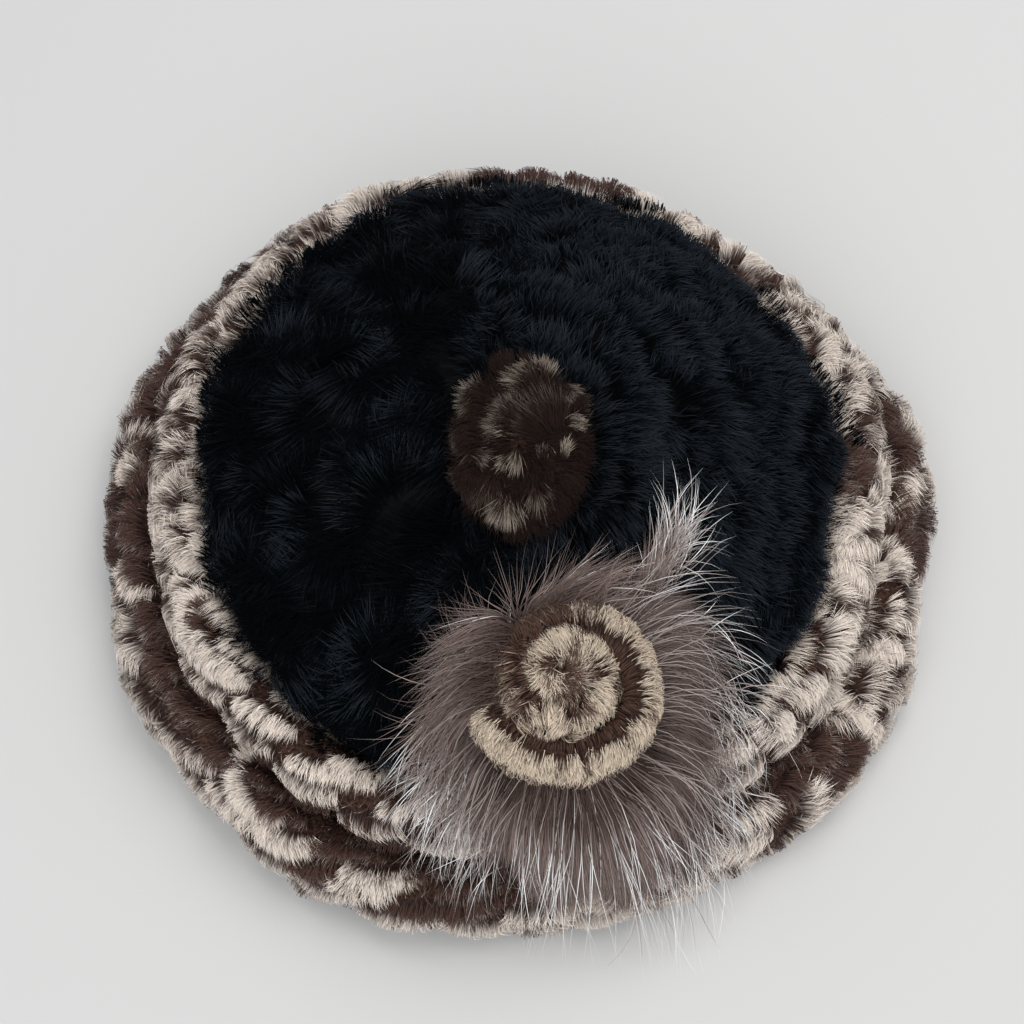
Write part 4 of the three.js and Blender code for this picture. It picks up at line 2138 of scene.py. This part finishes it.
@dataclass
class CrownPatch:
    """The oval patch of frosted fur on the middle of the crown.

    Attributes:
        x: Middle of the patch on the neat hat.
        y: The same, front to back.
        half_width: Half its width.
        half_length: Half its length.
        height: Its height over the crown's fur.
        lift: Height of its underside over that fur.
        inset: Depth of the body under the fur's outside.
        hairs: Number of hairs.
        tuft_share: Share of them that stand in the charted tufts.
        seed: Seed of its unevenness.
        wander: Unevenness of its short hair.
        coat: How the hairs stand.
        chart: Place, heading, line length, hair length, tone, fan and bend of each tuft.
    """

    x: float = 1.0
    y: float = -8.0
    half_width: float = 24.0
    half_length: float = 30.0
    height: float = 9.0
    lift: float = 0.8
    inset: float = 4.5
    hairs: int = 15000
    tuft_share: float = 0.55
    seed: int = 83
    wander: Waves = Waves(19, 20)
    coat: Coat = Coat(
        rise=4.2, tip=3.6, width=0.27, thickness=0.9, lock=1.2, gather=0.4, scatter=9, lock_scatter=12,
        roll=0.4,
    )
    chart: tuple = (
        (13.3, -8.4, 118, 5, 20, 0.40, 44, 30),
        (6.4, 10.5, 124, 7, 11, 0.70, 24, -20),
        (-9.5, 7.0, 158, 6, 10, 0.60, 30, 0),
        (12.5, 12.0, 318, 5, 8, 0.60, 12, 0),
        (15.0, -1.5, 12, 3, 6, 0.95, 10, 0),
        (13.5, -13.5, 82, 1.4, 6.5, 0.95, 5, 0),
        (-1.0, -3.0, 150, 9, 9, 0.52, 22, 0),
        (-3.5, -5.5, 163, 2, 6, 0.95, 10, 0),
        (-13.0, -5.0, 195, 10, 7, 0.36, 20, 0),
        (-12.5, -17, 220, 10, 8, 0.30, 20, 0),
        (-14.5, -11.5, 335, 1.6, 7, 0.60, 8, 0),
        (0.8, -9.5, 262, 1.2, 10, 0.80, 3, 0),
        (-2.0, -13.5, 240, 1.6, 6, 0.72, 10, 0),
        (8.0, -14.5, 95, 1.6, 4.5, 0.50, 12, 0),
        (-7.5, -18.0, 245, 5, 9, 0.42, 14, 0),
        (-2.4, -24.5, 258, 4.5, 9, 0.80, 16, 0),
        (5.2, -20.5, 304, 2.4, 9, 0.58, 8, 0),
        (12, -21, 320, 12, 7, 0.10, 20, 0),
        (17, -9, 350, 12, 6, 0.12, 20, 0),
        (17.0, 6.0, 20, 6, 6, 0.30, 20, 0),
        (-2.0, 17.0, 100, 9, 7, 0.15, 25, 0),
    )

    def spread(self, points: Array) -> Array:
        """Spread points of a disc of radius 1 to the body's oval, as a row of x and one of y."""
        return np.stack([
            self.x + points[:, 0] * (self.half_width - self.inset),
            self.y + points[:, 1] * (self.half_length - self.inset),
        ])

    def top(self, x: Array, y: Array) -> Array:
        """Give the height of the patch's body.

        Args:
            x: Places from left to right.
            y: Places from front to back.

        Returns:
            The heights.
        """
        out = np.hypot(
            (x - self.x) / (self.half_width - self.inset), (y - self.y) / (self.half_length - self.inset)
        )
        dome = np.sqrt(np.clip(1 - out**4, 0, 1))
        return CROWN.top + self.lift + (self.height - self.inset) * dome

    def build(self) -> None:
        """Make the pad and its coat."""
        pad = spun("crown patch", disc_section(18), 72, reshape=self.pad_points)
        piece = as_piece(pad, "crown_patch_body", Finishes.frosted_hide.material())
        declare(piece, Slot.FROSTED, "crown_patch")
        skin = HeightSkin(self.top)
        mesh = HairMesh(self.seed)
        x, y, heading, size, hair, tone, fan, bend = np.array(self.chart, dtype=float).T
        ones = np.ones(len(x))
        tufts = Tufts(x, y, heading - 90, size, hair, tone, ones, fan, bend, ones * 0)
        in_tufts = tufts.hairs(mesh.rng, round(self.hairs * self.tuft_share), self.coat)
        mesh.lay(skin, in_tufts, self.coat.blade())
        under = self.underfur(mesh.rng, round(self.hairs * (1 - self.tuft_share)))
        mesh.lay(skin, under, self.coat.blade())
        declare(mesh.finish("crown_patch_hair", Finishes.patch.material()), Slot.FROSTED)

    def pad_points(self, points: Array) -> Array:
        """Spread a flat disc to the patch's outline and its dome.

        Args:
            points: Points of the disc, of radius 1.

        Returns:
            Points of the neat hat.
        """
        x, y = self.spread(points)
        low = np.full(len(points), CROWN.top + self.lift)
        return np.stack([x, y, np.where(points[:, 2] > 0.5, self.top(x, y), low)], axis=1)

    def underfur(self, rng: np.random.Generator, count: int) -> Hairs:
        """Cover the pad with short hair that falls outward.

        Args:
            rng: Source of chance.
            count: Number of hairs.

        Returns:
            The hairs.
        """
        bearing = rng.uniform(0, 2 * math.pi, count)
        share = np.sqrt(rng.uniform(0, 1, count))
        x, y = self.spread(np.stack([share * np.cos(bearing), share * np.sin(bearing)], axis=1))
        wander = self.wander.at(x, y)
        rise = rng.uniform(1.5, 3.5, count)
        return Hairs(
            x, y, bearing + wander * 1.2 + rng.normal(0, 0.4, count), rng.uniform(4, 7, count), rise,
            rise * 0.6, np.clip(0.04 + 0.12 * wander + rng.normal(0, 0.06, count), 0, 0.5),
            rng.normal(0, 0.3, count),
        )


# The underside


@dataclass
class Underbrim:
    """The plain underside of the brim, with short brown fur pressed flat.

    Attributes:
        inner: Radius of its inner edge.
        outer: Radius of its outer edge.
        height: Height of its top.
        middle: Radius at which its hair is planted.
        hairs: Number of hairs.
        shades: Unevenness of the hair's tone.
        seed: Seed of its unevenness.
    """

    inner: float = 87.5
    outer: float = 110.6
    height: float = 12.0
    middle: float = 98.0
    hairs: int = 8500
    shades: Waves = Waves(3, 40)
    seed: int = 29

    def build(self) -> None:
        """Make the ring and its hair."""
        inner, outer, height = self.inner, self.outer, self.height
        lower = [(inner + 1, 1.6), (inner + 8, 1.2), (outer - 6, 1.2), (outer - 1.5, 3), (outer - 1, 8)]
        upper = [(outer - 4, height), (inner + 8, height - 2), (inner + 2, 7), (inner + 0.6, 4)]
        section = np.array(lower + upper)
        ring = spun("underbrim", section, 160)
        declare(as_piece(ring, "underbrim_body", Finishes.frosted_hide.material()), Slot.FROSTED, "underbrim")
        skin = RingSkin(section, self.middle, facing=1)
        mesh = HairMesh(self.seed)
        hairs = self.hair(mesh.rng, float(skin.way[len(lower) - 1]))
        mesh.lay(skin, hairs, Blade(width=0.45, roll=0.3))
        declare(mesh.finish("underbrim_hair", Finishes.frosted.material()), Slot.FROSTED)

    def hair(self, rng: np.random.Generator, end: float) -> Hairs:
        """Plant the short hair of the lower side.

        Args:
            rng: Source of chance.
            end: Way over the section at which the lower side ends.

        Returns:
            The hairs.
        """
        count = self.hairs
        rise = rng.uniform(0.3, 1.0, count)
        a = rng.uniform(0, 2 * math.pi * self.middle, count)
        tone = np.clip(0.12 + 0.14 * self.shades.at(a, a * 0) + rng.normal(0, 0.08, count), 0, 1)
        return Hairs(
            a, rng.uniform(0.2, end, count), np.radians(90 + rng.normal(0, 25, count)),
            rng.uniform(6, 9, count), rise, rise * 0.6, tone, rng.normal(0, 0.3, count),
        )


@dataclass
class HeadBand:
    """The ribbed knitted band round the head opening.

    Attributes:
        inside: Inner radius.
        wall: Thickness.
        low: Height of its lower edge.
        high: Height of its upper edge.
        ribs: Number of ribs round it.
        stitch: Height of a stitch.
    """

    inside: float = 84.0
    wall: float = 3.0
    low: float = 0.6
    high: float = 25.0
    ribs: int = 100
    stitch: float = 3.0

    def build(self) -> None:
        """Make the band."""
        levels = np.linspace(self.low + 0.8, self.high - 0.8, 24)
        inner = [(self.inside + 0.45, z) for z in levels]
        outer = [(self.inside + self.wall - 0.45, z) for z in levels[::-1]]
        middle = self.inside + self.wall / 2
        section = inner + [(middle, self.high)] + outer + [(middle, self.low)]
        band = spun("head band", np.array(section), self.ribs * 4, reshape=self.ribbed)
        declare(as_piece(band, "head_band_knit", Finishes.knit.material()), Slot.KNIT, "head_band")

    def ribbed(self, points: Array) -> Array:
        """Press the ribs and their stitches into both faces.

        Args:
            points: Points of the plain band.

        Returns:
            The same points, moved in or out.
        """
        x, y, z = points.T
        angle, radius = np.arctan2(y, x), np.hypot(x, y)
        side = np.sign(radius - self.inside - self.wall / 2)
        rib = np.cos(angle * self.ribs)
        stitch = np.abs(np.sin(math.pi * z / self.stitch + 0.8 * np.abs(rib)))
        radius = radius + side * (0.28 * rib + 0.22 * stitch - 0.1)
        return np.stack([radius * np.cos(angle), radius * np.sin(angle), z], axis=1)


@dataclass
class CrownLining:
    """The knitted base seen inside the crown.

    Attributes:
        depth: Distance under the top of the fur.
        outer: Radius of its edge.
        rounds: Width of a knitted round.
    """

    depth: float = 13.2
    outer: float = 95.0
    rounds: float = 4.75

    def build(self) -> None:
        """Make the lining."""
        radii = np.linspace(0, self.outer, round(self.outer / self.rounds * 2) + 1)
        under = [(r, CROWN.height(r) - self.depth - 1.0) for r in radii]
        section = under + [(r, CROWN.height(r) - self.depth) for r in radii[::-4]]
        lining = spun("lining", np.array(section), 200, reshape=self.knitted)
        declare(as_piece(lining, "crown_lining", Finishes.lining.material()), Slot.KNIT)

    def knitted(self, points: Array) -> Array:
        """Raise the rounds of stitches on the lining.

        Args:
            points: Points of the plain lining.

        Returns:
            The same points, those of the lower side moved down.
        """
        x, y, z = points.T
        radius, angle = np.hypot(x, y), np.arctan2(y, x)
        relief = np.abs(np.sin(math.pi * radius / self.rounds)) * (0.6 + 0.4 * np.cos(angle * 100))
        lower = CROWN.height(radius) - z > self.depth + 0.5
        return np.stack([x, y, z - 0.9 * relief * lower], axis=1)


# Stage, light and camera


def stage() -> None:
    """Lay the pale floor under the hat."""
    floor = bmesh.new()
    bmesh.ops.create_grid(floor, x_segments=2, y_segments=2, size=3.0)
    material = bpy.data.materials.new("floor")
    material.use_nodes = True
    shader = material.node_tree.nodes["Principled BSDF"]
    shader.inputs["Base Color"].default_value = (0.60, 0.597, 0.59, 1)
    shader.inputs["Roughness"].default_value = 0.9
    shader.inputs["Specular IOR Level"].default_value = 0.1
    as_piece(floor, "floor", material)


@dataclass(frozen=True)
class Lamp:
    """A soft square light that points at the hat.

    Attributes:
        name: Name of the light.
        place: Where it hangs, in metres.
        size: Side of the light, in metres.
        power: Power in watts.
        colour: Colour of the light.
    """

    name: str
    place: tuple[float, float, float]
    size: float
    power: float
    colour: tuple[float, float, float]

    def hang(self) -> None:
        """Add the light to the scene."""
        middle_of_hat = Vector((0, 0, 0.03))
        data = bpy.data.lights.new(self.name, "AREA")
        data.size = self.size
        data.energy = self.power
        data.color = self.colour
        lamp = bpy.data.objects.new(self.name, data)
        lamp.location = self.place
        lamp.rotation_euler = (middle_of_hat - Vector(self.place)).to_track_quat("-Z", "Y").to_euler()
        bpy.context.scene.collection.objects.link(lamp)


@dataclass(frozen=True)
class Studio:
    """The light and the camera.

    Attributes:
        sky: Colour of the light from all round.
        sky_strength: Its strength.
        lamps: The soft lights.
        eye: Place of the camera, in metres.
        tilt: Degrees by which it is turned up from looking straight down.
        lens: Its focal length in millimetres.
        sensor: Width of its picture plane in millimetres.
    """

    sky: tuple = (0.93, 0.96, 1.0, 1)
    sky_strength: float = 0.66
    lamps: tuple[Lamp, ...] = (
        Lamp("key", (0.45, 0.4, 1.35), 1.1, 11.0, (1.0, 0.98, 0.95)),
        Lamp("front", (-0.2, -1.0, 1.0), 1.2, 8.0, (1.0, 0.99, 0.97)),
    )
    eye: tuple = (-0.0032, -0.3197, 0.7184)
    tilt: float = 25
    lens: float = 79.0
    sensor: float = 36

    def build(self) -> None:
        """Add the light, and the camera at the photograph's angle."""
        scene = bpy.context.scene
        scene.view_settings.view_transform = "Standard"
        scene.world = bpy.data.worlds.new("studio")
        scene.world.use_nodes = True
        background = scene.world.node_tree.nodes["Background"]
        background.inputs["Color"].default_value = self.sky
        background.inputs["Strength"].default_value = self.sky_strength
        for lamp in self.lamps:
            lamp.hang()
        data = bpy.data.cameras.new("camera")
        data.lens = self.lens
        data.sensor_width = self.sensor
        camera = bpy.data.objects.new("camera", data)
        camera.location = self.eye
        camera.rotation_euler = (math.radians(self.tilt), 0, 0)
        scene.collection.objects.link(camera)
        scene.camera = camera


def main() -> None:
    """Build the light, the stage and the hat."""
    Studio().build()
    stage()
    BlackCrown().build()
    CrownLining().build()
    CrownPatch().build()
    upper_row().build()
    lower_row().build()
    Underbrim().build()
    HeadBand().build()
    fan = FoxFan()
    fan.build()
    Rosette(fan).build()


if __name__ == "__main__":
    main()
